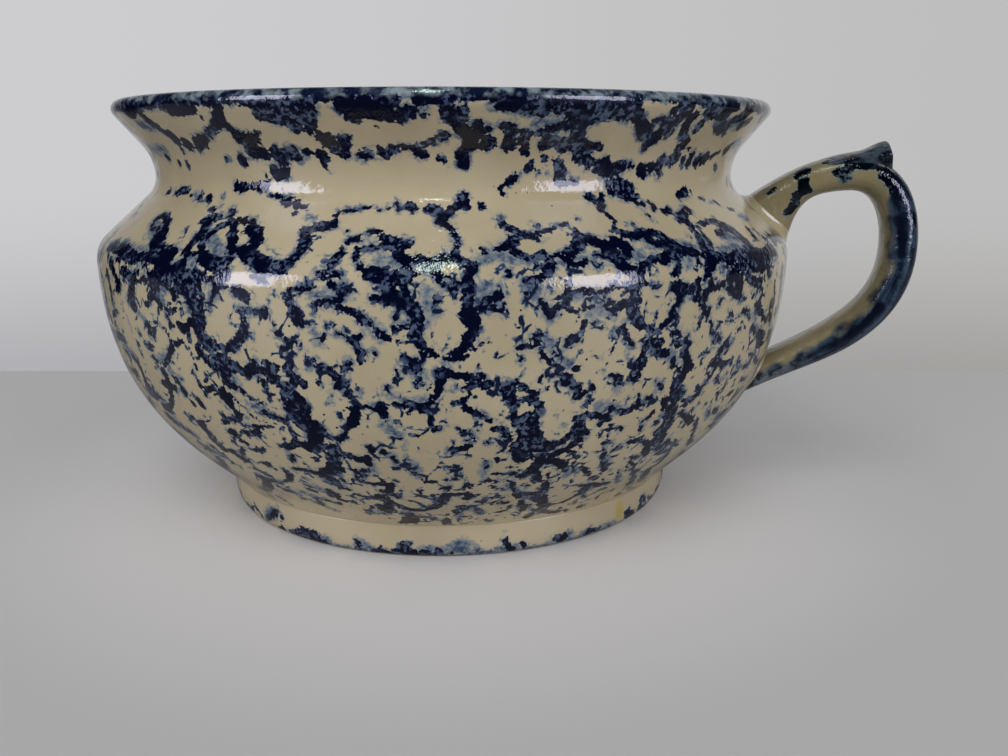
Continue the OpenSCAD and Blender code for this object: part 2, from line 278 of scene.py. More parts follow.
# The belly, where the same cut sponge was set down in four staggered rows
belly_rope = [
    (2.0, [(-18, 106.5), (-16.4, 107)]), (1.0, [(-18, 104.5), (-18.8, 101), (-19.8, 98.5)]),
    (2.1, [(-14.6, 102.6), (-13.8, 101.6)]), (1.3, [(-11, 99.2), (-10.8, 97.8)]),
    (1.1, [(-15.5, 98), (-14, 98.6), (-12.4, 98.6), (-11, 99)]),
    (1.8, [(-14.6, 97.5), (-14.4, 94), (-15.2, 90.5), (-16.6, 87)]), (0.7, [(-13.3, 92.5), (-13.3, 90.8)]),
    (1.5, [(-20.4, 90), (-19.2, 87), (-17.6, 86.6), (-16, 87.6)]),
    (1.8, [(-20.6, 83.4), (-18, 82.6), (-15.6, 81.6)]), (1.2, [(-15.6, 81.6), (-13.6, 82.8), (-13.4, 84)]),
    (1.1, [(-12.2, 83.2), (-10.4, 82.4)]), (1.5, [(-15, 80.8), (-13, 81.4), (-11, 80.2)]),
    (1.8, [(-20.4, 80.6), (-18.6, 79.4), (-19.4, 76.6), (-18, 75.8)]),
    (0.9, [(-13.6, 79), (-13, 77), (-12.4, 75)]), (1.3, [(-11.8, 78.4), (-10.4, 77), (-9, 76.6)]),
    (1.2, [(-16.6, 75), (-15.2, 73), (-14, 71.6)]), (1.1, [(-19.4, 72), (-18.2, 70.4), (-17, 68.2)]),
    (0.9, [(-17, 68), (-15.8, 65.6)]), (0.8, [(-18.6, 64.6), (-17.8, 65.2)]),
    (2.3, [(-9.6, 75.4), (-8.4, 73), (-7.8, 70), (-8.2, 67)]),
    (2.5, [(-9.4, 71), (-9, 67.4), (-7.8, 64.6)]), (2.3, [(-7.6, 66), (-7, 62), (-7.6, 58.6)]),
    (1.7, [(-6.8, 65.6), (-5.8, 64)]), (1.2, [(-10.4, 75), (-10.4, 71), (-9.8, 69.4)]),
    (1.4, [(-14, 68.6), (-12.4, 67.6), (-11, 66.4)]), (0.9, [(-15.2, 67.8)]),
    (1.1, [(-16, 62.6), (-14.4, 63.2), (-13.4, 63.6)]), (1.4, [(-18.6, 61.4), (-17, 62.4), (-15.6, 62.4)]),
    (1.3, [(-20, 58.4), (-18, 59.4), (-16.4, 60.4)]), (1.1, [(-10.6, 64), (-10.4, 61), (-10, 58)]),
    (1.3, [(-6, 62.4), (-5, 61), (-3.6, 60.6)]), (1.3, [(-3.4, 61), (-2.4, 63), (-1.6, 66)]),
    (1.8, [(-1.6, 66), (-1, 69), (-0.8, 72)]), (1.2, [(-2.4, 71.6), (-1, 72.4), (0.8, 72.4), (2, 71.6)]),
    (1.4, [(2.6, 72), (3.2, 70.8), (3, 69)]), (0.8, [(3.4, 73), (3, 72.4)]), (0.7, [(-4.1, 73)]),
    (1.0, [(-4.8, 79.4)]), (1.6, [(-2.6, 79), (-1.6, 80.6), (-2.6, 82.4), (-4, 83.6)]),
    (1.5, [(-1.6, 77), (-0.6, 75.8)]), (0.9, [(0.2, 78.4), (0.7, 77.8)]),
    (1.4, [(-9, 81.4), (-8.2, 80), (-8.4, 78.8)]), (1.1, [(-7.2, 78.6), (-7.1, 78)]),
    (1.4, [(-8.6, 83.6), (-9.4, 82)]), (1.4, [(-0.4, 85.4), (-1.2, 83.6)]), (0.7, [(-4.2, 84.8)]),
    (1.2, [(-5.6, 86.4), (-5, 86)]), (0.9, [(-8.3, 91.2), (-7.4, 90.6)]), (0.8, [(-7.2, 90.2), (-6, 88.2)]),
    (1.1, [(-9.4, 92.6), (-8.9, 92.4)]), (1.0, [(-9.5, 95.2)]),
    (0.9, [(-9.4, 87.4), (-9, 88.8), (-8.4, 89)]), (0.7, [(-9.5, 86)]), (1.0, [(-3.4, 93), (-3.6, 91.4)]),
    (1.5, [(-7.8, 98), (-7, 96), (-6.6, 95)]), (1.2, [(-6.9, 99.2), (-6.2, 98)]),
    (1.8, [(-8.2, 103), (-7.8, 101), (-7.4, 100)]), (1.3, [(-7.8, 104.6), (-6.4, 105), (-5, 106)]),
    (1.3, [(-4.6, 100.4), (-3.8, 101.2)]), (1.0, [(-4.6, 98.6), (-4.2, 99.2)]),
    (1.5, [(-2.4, 101.4), (-0.8, 102.4), (-0.2, 105)]), (1.4, [(-1.4, 100.6), (0, 100), (1, 98)]),
    (1.2, [(1, 98), (2.2, 96.6)]), (0.7, [(-2.2, 96.2)]), (0.6, [(-2.9, 95.4)]),
    (0.8, [(-1.6, 93.6), (-0.4, 92.8), (0.4, 91.6)]), (0.9, [(0.4, 91.8), (0.9, 89.8), (1.4, 88)]),
    (0.6, [(0.2, 92.8), (1, 93.2)]), (0.8, [(2.8, 88.8), (3, 88.2)]), (1.0, [(1.2, 87.4), (1.2, 86)]),
    (1.4, [(3.2, 94), (4, 92.8), (4.8, 92.2)]), (2.5, [(4.2, 106.5), (5.2, 103), (6.6, 101)]),
    (2.1, [(6.6, 101), (8, 98.6), (8.2, 96)]), (2.3, [(8.2, 95.4), (7.6, 93), (8.4, 91.4)]),
    (1.4, [(2.8, 102.4), (4.6, 101.6)]), (1.5, [(6, 99), (5.6, 97)]), (1.5, [(5.4, 94.6), (6.8, 95)]),
    (1.5, [(6.2, 88), (7.2, 86.4), (7, 84.4)]), (1.3, [(8.4, 88.4), (9.2, 89.6)]),
    (0.7, [(5.6, 92.8), (5.6, 90.4)]), (1.3, [(9.4, 89.8), (10.4, 88)]),
    (1.0, [(10.4, 88), (11.6, 86.8), (13, 87.2)]), (1.0, [(5.2, 84), (5.2, 82), (5, 80.4)]),
    (0.7, [(5.2, 87), (5.1, 85.6)]), (1.0, [(4.4, 78.6), (4.3, 77.6)]), (0.6, [(7.4, 80.4)]),
    (0.6, [(7.4, 79.4)]), (0.6, [(8.1, 79.5)]), (0.6, [(8.8, 78.5)]), (0.7, [(7.6, 81.8)]),
    (1.3, [(10, 83.8), (11, 84.4), (11.8, 83)]), (1.5, [(11, 83), (12.6, 82), (14, 81.6)]),
    (1.5, [(10.6, 81.6), (10.4, 79), (10.2, 76.6)]), (1.0, [(9.4, 75.6), (9.6, 73)]),
    (0.7, [(12.2, 78), (12.7, 78.8)]), (0.9, [(4.8, 72.8), (6.4, 73.2), (8, 73), (9, 73.6)]),
    (1.3, [(9, 72), (9.6, 69), (9.4, 67)]), (1.2, [(9.6, 65.6), (10.6, 66.2)]), (0.6, [(11, 73.8)]),
    (0.6, [(10.4, 72.4)]), (0.6, [(6.4, 71.2)]), (0.6, [(8.3, 71.1)]), (0.9, [(4.5, 67.8), (5, 67.4)]),
    (0.7, [(6.2, 63.6), (7.4, 63.8)]), (0.8, [(4.6, 62.2), (5.2, 62)]), (1.0, [(0.4, 58.4), (0.9, 57.6)]),
    (0.9, [(2.1, 56.7), (3, 55.7)]), (0.6, [(7.5, 58.8)]), (1.6, [(11.8, 57.6), (13.6, 58.4)]),
    (1.9, [(-18.6, 58.4), (-17, 59)]), (1.3, [(-19.6, 51.6), (-17, 52.6)]), (0.9, [(-18.2, 49.4)]),
    (1.1, [(-19.2, 46.4), (-18, 46.8)]), (1.6, [(-12.4, 56), (-11, 57.6)]), (2.1, [(-9, 58), (-7.6, 57)]),
    (1.7, [(-6.6, 57), (-5, 57.6)]), (1.2, [(-12.4, 53), (-12.5, 50.6)]), (0.7, [(-9.4, 53), (-8.2, 52.8)]),
    (0.6, [(-7.8, 51.8)]), (2.5, [(-5.4, 54.4), (-5.6, 51), (-6.4, 48)]),
    (2.3, [(-6.4, 48), (-8, 46.6), (-8.4, 44)]), (1.9, [(-8.6, 43.6), (-7, 42), (-7.6, 40)]),
    (1.2, [(-8, 40.4), (-7, 38.4), (-5.6, 37.4)]), (1.3, [(-4.8, 54), (-4.6, 50), (-4.4, 47.6)]),
    (1.5, [(-5.4, 55), (-3, 55), (-1.4, 53.6)]), (1.0, [(-13, 45.6), (-11.6, 45.8)]),
    (1.0, [(-10.6, 45.6), (-9.4, 45)]), (1.5, [(-15.6, 44), (-15, 42.6)]),
    (0.9, [(-12.9, 40.6), (-12.6, 40.2)]), (1.2, [(-15.6, 41), (-17, 38.6), (-18.6, 36.4)]),
    (1.4, [(-18.6, 36.4), (-20, 34)]), (1.2, [(-14, 34), (-13.2, 33.2)]),
    (1.2, [(-10, 35), (-8.6, 33), (-8.6, 30.6)]), (1.5, [(-9, 29), (-8, 27.6)]),
    (1.2, [(-12.6, 26.4), (-10, 25.4)]), (1.3, [(-14.6, 24), (-14.8, 21)]), (1.0, [(-18, 23.6)]),
    (0.9, [(-6.4, 28), (-6, 27)]), (0.9, [(-5.8, 43.6), (-5.2, 42.6)]), (1.1, [(-3, 48.8), (-1.2, 48)]),
    (1.2, [(-2.4, 46.4), (-1.4, 45.4)]), (1.2, [(-2.6, 43.4), (-1.4, 42), (-0.4, 40.8)]),
    (0.9, [(0.4, 46)]), (1.2, [(0.8, 44.8), (1.4, 43.8)]), (1.3, [(0.2, 41.6), (1.6, 41.4)]),
    (1.0, [(2.6, 43), (2.6, 41)]), (1.5, [(2, 40), (2, 37.6), (1.8, 35.6)]), (0.9, [(0.4, 38), (0.6, 37)]),
    (1.3, [(0, 54), (-0.2, 52)]), (0.9, [(3.6, 54.4), (4.4, 52.6)]), (0.8, [(4.8, 51.4), (5.4, 50.8)]),
    (1.0, [(5.8, 49.6), (6.6, 48)]), (0.8, [(6.6, 47.2), (7.4, 46)]), (1.4, [(7.8, 44.6), (9.4, 44)]),
    (0.7, [(8, 48.6)]), (1.3, [(10, 40.4), (10.8, 40)]), (1.0, [(10.8, 44.8), (12.4, 45)]),
    (0.8, [(11.9, 48.2)]), (1.2, [(11, 51), (12.8, 50.6)]), (0.7, [(13.6, 43.4)]), (0.6, [(7.7, 37.8)]),
    (0.6, [(7.5, 54)]), (2.1, [(-0.4, 33.6), (0.8, 31.6), (1, 29)]),
    (1.7, [(0.8, 28), (0.4, 25), (-0.4, 22)]), (1.5, [(-1.4, 26.4), (-0.8, 23.4)]),
    (1.5, [(2.2, 29), (3, 26.6)]), (1.0, [(3, 35.4), (3.2, 34)]),
    (1.3, [(3.4, 25.4), (5, 24.4), (6.4, 24.6)]), (1.5, [(6.8, 24.8), (8.4, 26.4), (9.4, 28.6)]),
    (1.8, [(9.8, 29.6), (10.2, 32), (10.4, 35)]),
    (1.0, [(8.6, 35.6), (9.6, 36.4), (11.6, 35.8), (13, 36.2)]), (0.8, [(8.8, 34)]),
    (1.2, [(-3.4, 33.2), (-2, 32.4), (-0.6, 32.6)]), (1.0, [(-4.6, 33.8), (-3.6, 33)]),
    (1.1, [(-4.8, 20), (-3.8, 22), (-3, 25.6)]), (0.7, [(5, 31.6)]),
    (1.5, [(2.4, 21.4), (3.6, 20.4), (4.4, 17)]), (1.7, [(2.6, 17.6), (1.8, 14.6), (0.8, 13.6)]),
    (1.3, [(4.6, 17), (3.6, 14.4)]), (1.2, [(5.6, 19), (7.4, 18), (8.6, 17.4)]),
    (1.5, [(10.6, 17), (11, 14)]), (0.8, [(13.4, 17), (13.6, 15)]), (1.0, [(12, 25), (12.4, 22)]),
    (0.9, [(13, 26.6), (13.8, 26)]), (0.7, [(-1.2, 18), (0.4, 17.4)]), (1.9, [(-44.5, 106), (-43, 103.6)]),
    (1.5, [(-42, 101.6), (-40.6, 100.6)]), (1.4, [(-42, 99), (-41, 99.6)]),
    (1.2, [(-39.6, 104.8), (-37, 104)]), (1.5, [(-37, 103.6), (-35.4, 103), (-34.6, 105)]),
    (1.2, [(-35, 102.6), (-32.4, 103)]), (1.9, [(-36.2, 101), (-36.6, 98.4)]),
    (1.5, [(-37, 97.6), (-36, 95), (-36.4, 94.4)]), (1.0, [(-40.4, 95.2)]), (0.9, [(-41, 92.2)]),
    (0.9, [(-36.8, 86.4), (-36.4, 86)]), (1.5, [(-33, 90.4), (-33.2, 88)]),
    (1.0, [(-33.8, 97), (-33.6, 98.4)]), (1.0, [(-32.4, 96.4)]), (1.5, [(-32, 99), (-30.4, 99.6)]),
    (1.9, [(-31, 101.6), (-30, 105)]), (0.6, [(-31.3, 94)]),
    (2.4, [(-30, 104.4), (-27, 105.6), (-25.6, 107)]), (1.9, [(-26, 106), (-24.6, 103.6), (-23.6, 105.4)]),
    (1.7, [(-25.6, 102.4), (-25, 101)]), (2.1, [(-24, 101), (-22.4, 102.4), (-22, 104)]),
    (1.5, [(-26.4, 101.4), (-26.2, 100.4)]), (1.5, [(-23, 99.6), (-21.4, 98.6)]),
    (1.5, [(-31.4, 100), (-30, 98.4), (-29, 97)]), (1.2, [(-29, 97), (-27.4, 95.8), (-26, 96.2)]),
    (1.2, [(-28, 94.6), (-27.6, 92)]), (1.2, [(-23, 98), (-22.6, 96.6)]),
    (0.8, [(-31.4, 91.2), (-30, 90.8), (-29, 90)]), (0.8, [(-29, 90), (-28.4, 88)]),
    (1.2, [(-28.2, 86.8), (-26.8, 86.2)]), (0.8, [(-26.2, 87.4), (-25.4, 87)]),
    (0.8, [(-28, 91.4), (-27, 91.6)]), (1.3, [(-25.8, 92.2), (-24.6, 91), (-23.6, 92.6)]),
    (1.7, [(-22.6, 93), (-21.8, 91)]), (1.9, [(-21.4, 97.6), (-21.2, 94)]),
    (2.3, [(-22, 91.6), (-21, 88.8), (-20.6, 87)]), (1.2, [(-24, 90), (-23.6, 88)]),
    (0.7, [(-24.2, 86), (-24, 84)]), (0.8, [(-24, 83), (-23.8, 80)]),
    (1.7, [(-22.6, 86.2), (-22, 84), (-21.4, 82)]), (0.7, [(-25, 79), (-24.6, 77), (-24.4, 74.6)]),
    (0.7, [(-23, 76.4), (-22.4, 78), (-21.4, 78.6)]), (0.7, [(-20.5, 77.8)]),
    (1.5, [(-28.2, 85), (-29.4, 83.6), (-30, 81.4)]), (1.2, [(-31, 80.4), (-32, 78.6)]),
    (1.3, [(-34.2, 80.6), (-33.4, 79.4)]), (1.0, [(-34.4, 77.4)]), (1.4, [(-32.6, 77), (-32.4, 75)]),
    (1.0, [(-32.6, 73.6)]), (1.4, [(-35.4, 83.2), (-34.2, 83.6)]), (1.0, [(-38.4, 80.8)]),
    (0.8, [(-38, 79)]), (1.5, [(-34, 72.4), (-32.4, 71.6), (-31, 71.4)]),
    (1.6, [(-32.8, 70.6), (-33.4, 67.6), (-34.4, 64.8)]), (1.6, [(-34.6, 64.4), (-36, 62), (-38, 60.4)]),
    (1.2, [(-30.4, 75.4), (-29.6, 75)]), (1.0, [(-28.4, 75.6)]), (1.4, [(-29.2, 72), (-28.8, 70.4)]),
    (1.1, [(-27.8, 66.4)]), (1.3, [(-26.4, 69), (-26, 67)]), (1.4, [(-23, 73.4), (-22, 74.2)]),
    (1.0, [(-24, 71.6)]), (1.7, [(-20.4, 73), (-19.8, 70)]), (1.3, [(-20.8, 71), (-20, 67.6)]),
    (1.2, [(-23, 61.6), (-21.6, 62.4), (-20, 63.4)]), (1.2, [(-20, 63.6), (-19.4, 65.6)]),
    (0.9, [(-27, 63.2)]), (1.0, [(-30.6, 60.4), (-29.8, 61)]), (1.7, [(-29, 58.6), (-28, 60.4)]),
    (1.4, [(-42.6, 77.4), (-41, 76), (-40.4, 73)]), (1.5, [(-46, 78), (-44, 77)]),
    (2.2, [(-48, 82), (-44, 82.6)]), (1.5, [(-40.4, 71), (-41.4, 68)]), (2.2, [(-42, 66), (-40, 64.6)]),
    (1.7, [(-40, 67), (-38, 65)]), (1.5, [(-46, 102), (-45, 98), (-45.6, 93)]),
    (1.7, [(-47, 89), (-45, 91)]), (1.9, [(-39, 60.6), (-37, 59.4)]),
    (2.1, [(-28.6, 57.6), (-27.8, 55), (-28, 52.6)]), (1.5, [(-22.6, 58), (-21.6, 57.6)]),
    (1.4, [(-21, 55), (-20, 54)]), (1.2, [(-23, 54.2)]), (1.5, [(-27.6, 50), (-27.4, 48)]),
    (1.4, [(-26, 48), (-25, 49)]), (1.7, [(-24.4, 46), (-23.4, 44.6)]), (1.5, [(-23.4, 41), (-22.4, 39.4)]),
    (1.2, [(-29, 43.4)]), (1.0, [(-28.4, 41)]), (1.3, [(-21.6, 51.4), (-22.4, 49.4)]),
    (1.8, [(-24.4, 36.4), (-23, 35), (-21, 35.4)]), (2.0, [(-23.6, 34), (-24.6, 30.6), (-25.8, 28.4)]),
    (1.6, [(-26, 28), (-28, 25), (-30, 22.6)]), (1.8, [(-30.4, 22), (-32.4, 21)]),
    (1.4, [(-20.6, 29), (-19.6, 28)]), (1.0, [(-21.4, 31)]), (1.7, [(-32.6, 41.6), (-34, 39.4)]),
    (2.0, [(-34, 36), (-37, 33.4), (-40, 30)]), (2.2, [(-37, 30), (-41, 27), (-45, 25)]),
    (1.2, [(-34.6, 47.6), (-33, 46)]), (1.2, [(-32, 45.6)]), (1.4, [(-31, 48), (-30, 47)]),
    (1.5, [(-36, 53), (-34.4, 52)]), (1.9, [(-40, 56), (-38, 54)]), (1.4, [(-44, 48), (-41, 46)]),
    (2.0, [(-34, 15.4), (-32, 17)]), (1.3, [(-26.6, 14.6)]), (1.3, [(-27.4, 17)]),
    (1.8, [(-40, 20), (-38, 18)]), (1.6, [(-46, 40), (-44, 36)]), (1.6, [(-48, 58), (-45, 60)]),
    (1.5, [(-47, 70), (-44, 72)]), (1.4, [(-43, 38), (-41, 40)]), (1.3, [(12.2, 105), (12.6, 104)]),
    (2.1, [(14.4, 106), (14.4, 102)]), (1.3, [(16, 101), (18, 102.6)]),
    (1.9, [(14.4, 101), (14.2, 98), (14.8, 96)]), (1.5, [(14.6, 99.6), (16.6, 99.4)]),
    (1.0, [(16.8, 99.2), (18.2, 98.8)]), (1.2, [(18.4, 99.4), (18.6, 98.6)]),
    (1.5, [(15.2, 97), (14.8, 94), (14, 91.4)]), (1.2, [(14, 91), (13, 89.4), (12, 88.2)]),
    (0.9, [(12.8, 86.8), (13.8, 87.8)]), (0.7, [(14.6, 89.6), (15.6, 90.6), (16.2, 91.6)]),
    (1.0, [(19.6, 95.2), (19.9, 94.7)]), (0.7, [(17.5, 89.2), (17.5, 87.8)]), (0.7, [(15.4, 84.6)]),
    (1.0, [(21.8, 105), (22, 103.4)]), (0.9, [(20.9, 103.2)]), (0.8, [(23.8, 104.8), (24.1, 104.3)]),
    (0.7, [(22.6, 101.6), (22.9, 100.6)]), (1.2, [(24.6, 98.6), (24, 97.4)]),
    (1.3, [(26.6, 103.4), (26.4, 101)]), (1.3, [(27.4, 103.8), (29.4, 103.4)]),
    (0.9, [(29.4, 103.6), (31, 102.4), (32.2, 104)]), (0.9, [(26.2, 99.4), (27.4, 98.4), (28, 97.6)]),
    (0.9, [(28, 97.6), (28.4, 95.4)]), (0.7, [(28.2, 98.2), (29.2, 98.6)]),
    (1.3, [(30.6, 100), (31.6, 98.8), (32.6, 97.4)]), (1.4, [(33, 99.4), (34.6, 99.8)]),
    (1.2, [(34.2, 103.6), (34.8, 103.4)]), (1.7, [(35.6, 104.6), (35.4, 101.6)]),
    (2.1, [(35.4, 101), (35, 98), (35.6, 96)]), (1.9, [(35.6, 95.4), (36.6, 93.6)]),
    (1.5, [(33.8, 93.4), (34.4, 91)]), (1.3, [(34.6, 90.6), (35.4, 88.6)]),
    (1.3, [(29, 94.8), (28.6, 93.4)]), (1.5, [(28, 91.6), (26.4, 90.4)]), (0.7, [(30, 94.4), (31, 94)]),
    (1.0, [(27, 90), (28.6, 92)]), (1.2, [(22, 91.4), (22.6, 92.4)]), (1.2, [(20.2, 89), (22, 89.2)]),
    (0.9, [(20.6, 87.4), (20.6, 86.2)]), (1.1, [(22.6, 88.2), (23.4, 86.6), (24.2, 85.6)]),
    (1.3, [(24.2, 85.2), (25, 84)]), (1.0, [(24.6, 87.6), (25.4, 86.8)]),
    (0.7, [(22.8, 89.6), (23.2, 89.2)]), (1.0, [(27.7, 83.6), (28.1, 83)]),
    (1.2, [(25.4, 82.4), (26.2, 81)]), (1.0, [(26.6, 81), (27.2, 80)]), (0.8, [(24, 82.6), (23.4, 81)]),
    (0.7, [(23.2, 79.4)]), (1.4, [(26.4, 79.2), (27.6, 78.4), (28.6, 76.4)]),
    (1.2, [(28, 74.4), (29.6, 75)]), (1.2, [(30.4, 77), (30.8, 76)]), (0.8, [(32.4, 90.8), (32.6, 89)]),
    (0.9, [(32.6, 88.6), (32.4, 86.8)]), (0.6, [(30.4, 86.2), (31.4, 85.6)]),
    (0.6, [(31.8, 84.4), (31.8, 83)]), (0.6, [(31.6, 81.3)]), (0.7, [(32.4, 92.6), (32.3, 91.4)]),
    (0.6, [(34.4, 84.6)]), (0.6, [(35.2, 84.6)]), (0.6, [(35.7, 83.6)]), (0.7, [(34.4, 82.6)]),
    (0.9, [(33, 79.2), (34.8, 78.6)]), (1.3, [(34, 77.6), (35, 76.4)]), (1.3, [(36, 78), (37, 77)]),
    (1.0, [(37.4, 79), (37.8, 76.8)]), (0.6, [(38.8, 75.8)]), (1.9, [(38, 87.8), (37.6, 85), (38, 83)]),
    (1.9, [(37.4, 84), (37, 81.6)]), (1.5, [(38.4, 88.8), (40.4, 88.8)]),
    (1.5, [(39, 86), (41, 85.8), (42, 85)]), (1.2, [(37.4, 80.6), (36.4, 79.4)]),
    (1.3, [(37.6, 92.6), (38.4, 91.6), (40, 91.4)]), (1.4, [(40, 91.6), (41.4, 93.4), (42.6, 95)]),
    (0.8, [(42.6, 95.4), (43, 95.6)]), (1.5, [(42.2, 96), (42.8, 98), (43.4, 99.4)]),
    (1.7, [(42.4, 102), (43.6, 101.4)]), (1.2, [(41.6, 102.4), (43, 103), (44.4, 102.2)]),
    (0.7, [(41.4, 98.6), (41.4, 97.8)]), (1.2, [(36.8, 104.4), (38, 103.6)]),
    (1.0, [(38.4, 102.8), (39.4, 103.4)]), (1.2, [(36.4, 101.6), (36.2, 100)]),
    (0.7, [(38.2, 93.8), (38.8, 94)]), (1.2, [(45.4, 99.2), (46, 98.6)]), (1.0, [(42.6, 106), (43, 107)]),
    (0.9, [(42.4, 90.6), (43.8, 89.8)]), (1.3, [(43.2, 88), (43.8, 87)]), (0.9, [(44.8, 87.6), (45.8, 86)]),
    (1.2, [(43.4, 83), (43.6, 81)]), (1.5, [(45, 84.4), (46, 82)]), (1.0, [(44.6, 79.6)]),
    (1.2, [(41.4, 75.6), (42.4, 74)]), (1.7, [(44.6, 75.6), (45, 72)]), (1.7, [(43.6, 69.6), (44, 67)]),
    (1.9, [(45, 71), (46, 68)]), (1.2, [(15.4, 81), (16, 81.6)]),
    (1.3, [(13.8, 78.4), (15.4, 79), (17.4, 79.4)]), (1.2, [(18.4, 80), (20, 79.4)]),
    (1.8, [(18.6, 78.4), (19.4, 76.4)]), (1.0, [(20.6, 78), (21.6, 78)]), (0.9, [(20.4, 76.4)]),
    (1.4, [(21.6, 77), (22.4, 75.8)]), (0.7, [(24.3, 77.7)]), (1.5, [(19.2, 75.6), (19.8, 73)]),
    (1.4, [(20.6, 73.6), (22, 74.6)]), (1.8, [(22, 73.6), (23, 71.6), (23, 69)]),
    (1.2, [(19.6, 72), (19.8, 69), (20.2, 67.4)]), (1.2, [(21.4, 69.2), (21.7, 69)]),
    (1.9, [(20.6, 66.4), (22.4, 65.4)]), (2.3, [(22.6, 67), (23, 64), (23.6, 62)]),
    (2.3, [(21.4, 64), (21.8, 61), (22.6, 58.6)]), (1.2, [(12.4, 74), (13.4, 74.6), (14.4, 76.4)]),
    (1.3, [(13.6, 73), (15, 71.4), (16, 70)]), (1.3, [(16.2, 70.2), (17, 68.6)]),
    (1.4, [(17.4, 66), (18.6, 65), (19, 63)]), (1.0, [(18.6, 62.6), (19.6, 61.4)]), (0.6, [(12.6, 68.7)]),
    (0.7, [(12, 67), (13, 66.2)]), (0.9, [(13.6, 65.6), (14.6, 63.6), (15.2, 61)]), (0.6, [(15.4, 65.5)]),
    (1.0, [(16.4, 60.6), (17.2, 61)]), (1.3, [(12.4, 58), (14.4, 59.4)]), (1.0, [(13.8, 61)]),
    (1.4, [(24, 61.4), (25, 59.4), (27, 58.4)]), (1.5, [(27, 58.4), (28.4, 60), (29.2, 62.6)]),
    (1.7, [(29.2, 63), (29.4, 65.6)]), (1.5, [(28.6, 67), (30.2, 67.4), (32.4, 66.6)]),
    (0.7, [(30, 61), (31.2, 60.8)]), (1.5, [(29.8, 71.6), (30, 70.4)]), (1.4, [(33.2, 66.2), (34.4, 65)]),
    (1.0, [(32.8, 64), (33, 63.4)]), (0.9, [(34.2, 61.6)]), (1.3, [(34.8, 63), (35.2, 61.8)]),
    (1.1, [(36.2, 62), (36.8, 61.2)]), (0.9, [(35.2, 59.6)]), (0.9, [(33.2, 59.8), (33.8, 59.4)]),
    (0.7, [(31.3, 58)]), (1.3, [(33.6, 69), (34.6, 68.4)]), (1.5, [(35.6, 67.4), (36.6, 67), (37.4, 68)]),
    (1.3, [(38, 69), (39.6, 70)]), (0.9, [(36.2, 71.4), (36.3, 70.8)]), (1.1, [(38.2, 71.6), (38.4, 70.8)]),
    (0.9, [(39.8, 71), (40.6, 71.6)]), (0.7, [(41.8, 69)]), (1.2, [(40.4, 63.4), (41.4, 64.4), (41.8, 66)]),
    (0.8, [(40.4, 62), (40.6, 59.6)]), (0.7, [(43.3, 61.4)]), (0.7, [(44, 61)]),
    (2.1, [(20.6, 58), (22, 57.4)]), (2.1, [(24, 57.6), (26, 57)]), (0.8, [(18.8, 59), (18.8, 57)]),
    (1.0, [(18.4, 54.4), (18.6, 52.6)]), (0.8, [(16, 53.6), (17, 53)]), (1.1, [(17.4, 51), (17.4, 49)]),
    (1.0, [(18.6, 46.8), (20, 46.2), (21.4, 46.6)]), (0.6, [(20.6, 50)]), (0.7, [(21.5, 49.9)]),
    (0.6, [(22.1, 48.4)]), (2.3, [(24.4, 53.6), (24.4, 50), (24, 47)]), (1.9, [(23.6, 47.6), (23, 45)]),
    (2.1, [(24.8, 45.6), (25.4, 43)]), (1.3, [(25.4, 42), (27, 40.8)]),
    (1.7, [(26, 51), (28, 50.2), (29, 48.6)]), (1.3, [(29.4, 49), (30, 46.6)]),
    (1.5, [(26.4, 53.4), (28.4, 55.6), (30, 58.6)]), (1.5, [(21, 55.6), (21.6, 53)]),
    (1.2, [(22.6, 54.4), (23.4, 53.2)]), (0.9, [(29, 54.4), (30, 53.2), (31, 51.6)]), (0.9, [(29.4, 51.2)]),
    (0.9, [(31, 49.6), (32, 48.4)]), (1.3, [(32.6, 47), (33.6, 45.2), (34.4, 44)]),
    (1.3, [(34.8, 43), (35.6, 41)]), (1.4, [(36.4, 38.6), (37, 37.2)]), (0.9, [(33.2, 47.8)]),
    (1.0, [(27, 45), (27.2, 44.6)]), (0.9, [(27.6, 43), (28.4, 43.2)]), (0.9, [(31.8, 37), (32.1, 36.6)]),
    (1.3, [(34.8, 56.4), (35.6, 56.8)]), (1.3, [(35.6, 52), (35.8, 49.6)]), (0.6, [(36.6, 55.4)]),
    (1.3, [(37, 51.6), (37.8, 53.6), (38.4, 52.6)]), (1.1, [(36.4, 48), (37, 45.6)]),
    (0.9, [(37.6, 43), (38, 41)]), (0.8, [(39, 39.6)]), (1.2, [(39.8, 54.6), (42, 54), (43.4, 53.2)]),
    (1.7, [(44, 52.4), (45, 50)]), (1.5, [(44.6, 56.6), (45.6, 58.6)]), (1.5, [(44.8, 48.6), (45.8, 46)]),
    (1.3, [(42.4, 46), (44, 45)]), (1.0, [(42.6, 43.6), (44, 41.4), (45.6, 40)]),
    (0.9, [(41, 39), (42.4, 37), (43, 34.4)]), (0.9, [(43, 34), (44.4, 31.4)]),
    (2.1, [(27.6, 40), (28, 37), (28.4, 34)]), (2.2, [(26.8, 33), (27, 30), (28, 28)]),
    (1.9, [(28.4, 31), (28.8, 27), (29.6, 24)]), (1.3, [(30.2, 23), (32, 22), (33.6, 22.2)]),
    (1.4, [(33.6, 22.4), (35, 24), (35.8, 26)]), (1.8, [(36, 26.6), (36.6, 29), (36.4, 32)]),
    (1.4, [(35, 34), (37, 33), (39, 32)]), (1.3, [(39, 31), (41.4, 32), (42.4, 31)]),
    (1.3, [(25.6, 33), (24, 32.4)]), (1.2, [(26.6, 36.6)]), (1.0, [(23.4, 34.4)]),
    (1.3, [(21.6, 41), (22, 38), (22.6, 35)]), (1.4, [(22.4, 34), (23.4, 31)]),
    (1.2, [(24.4, 28), (25, 25), (26, 22)]), (1.5, [(25.8, 24.6), (26, 21)]),
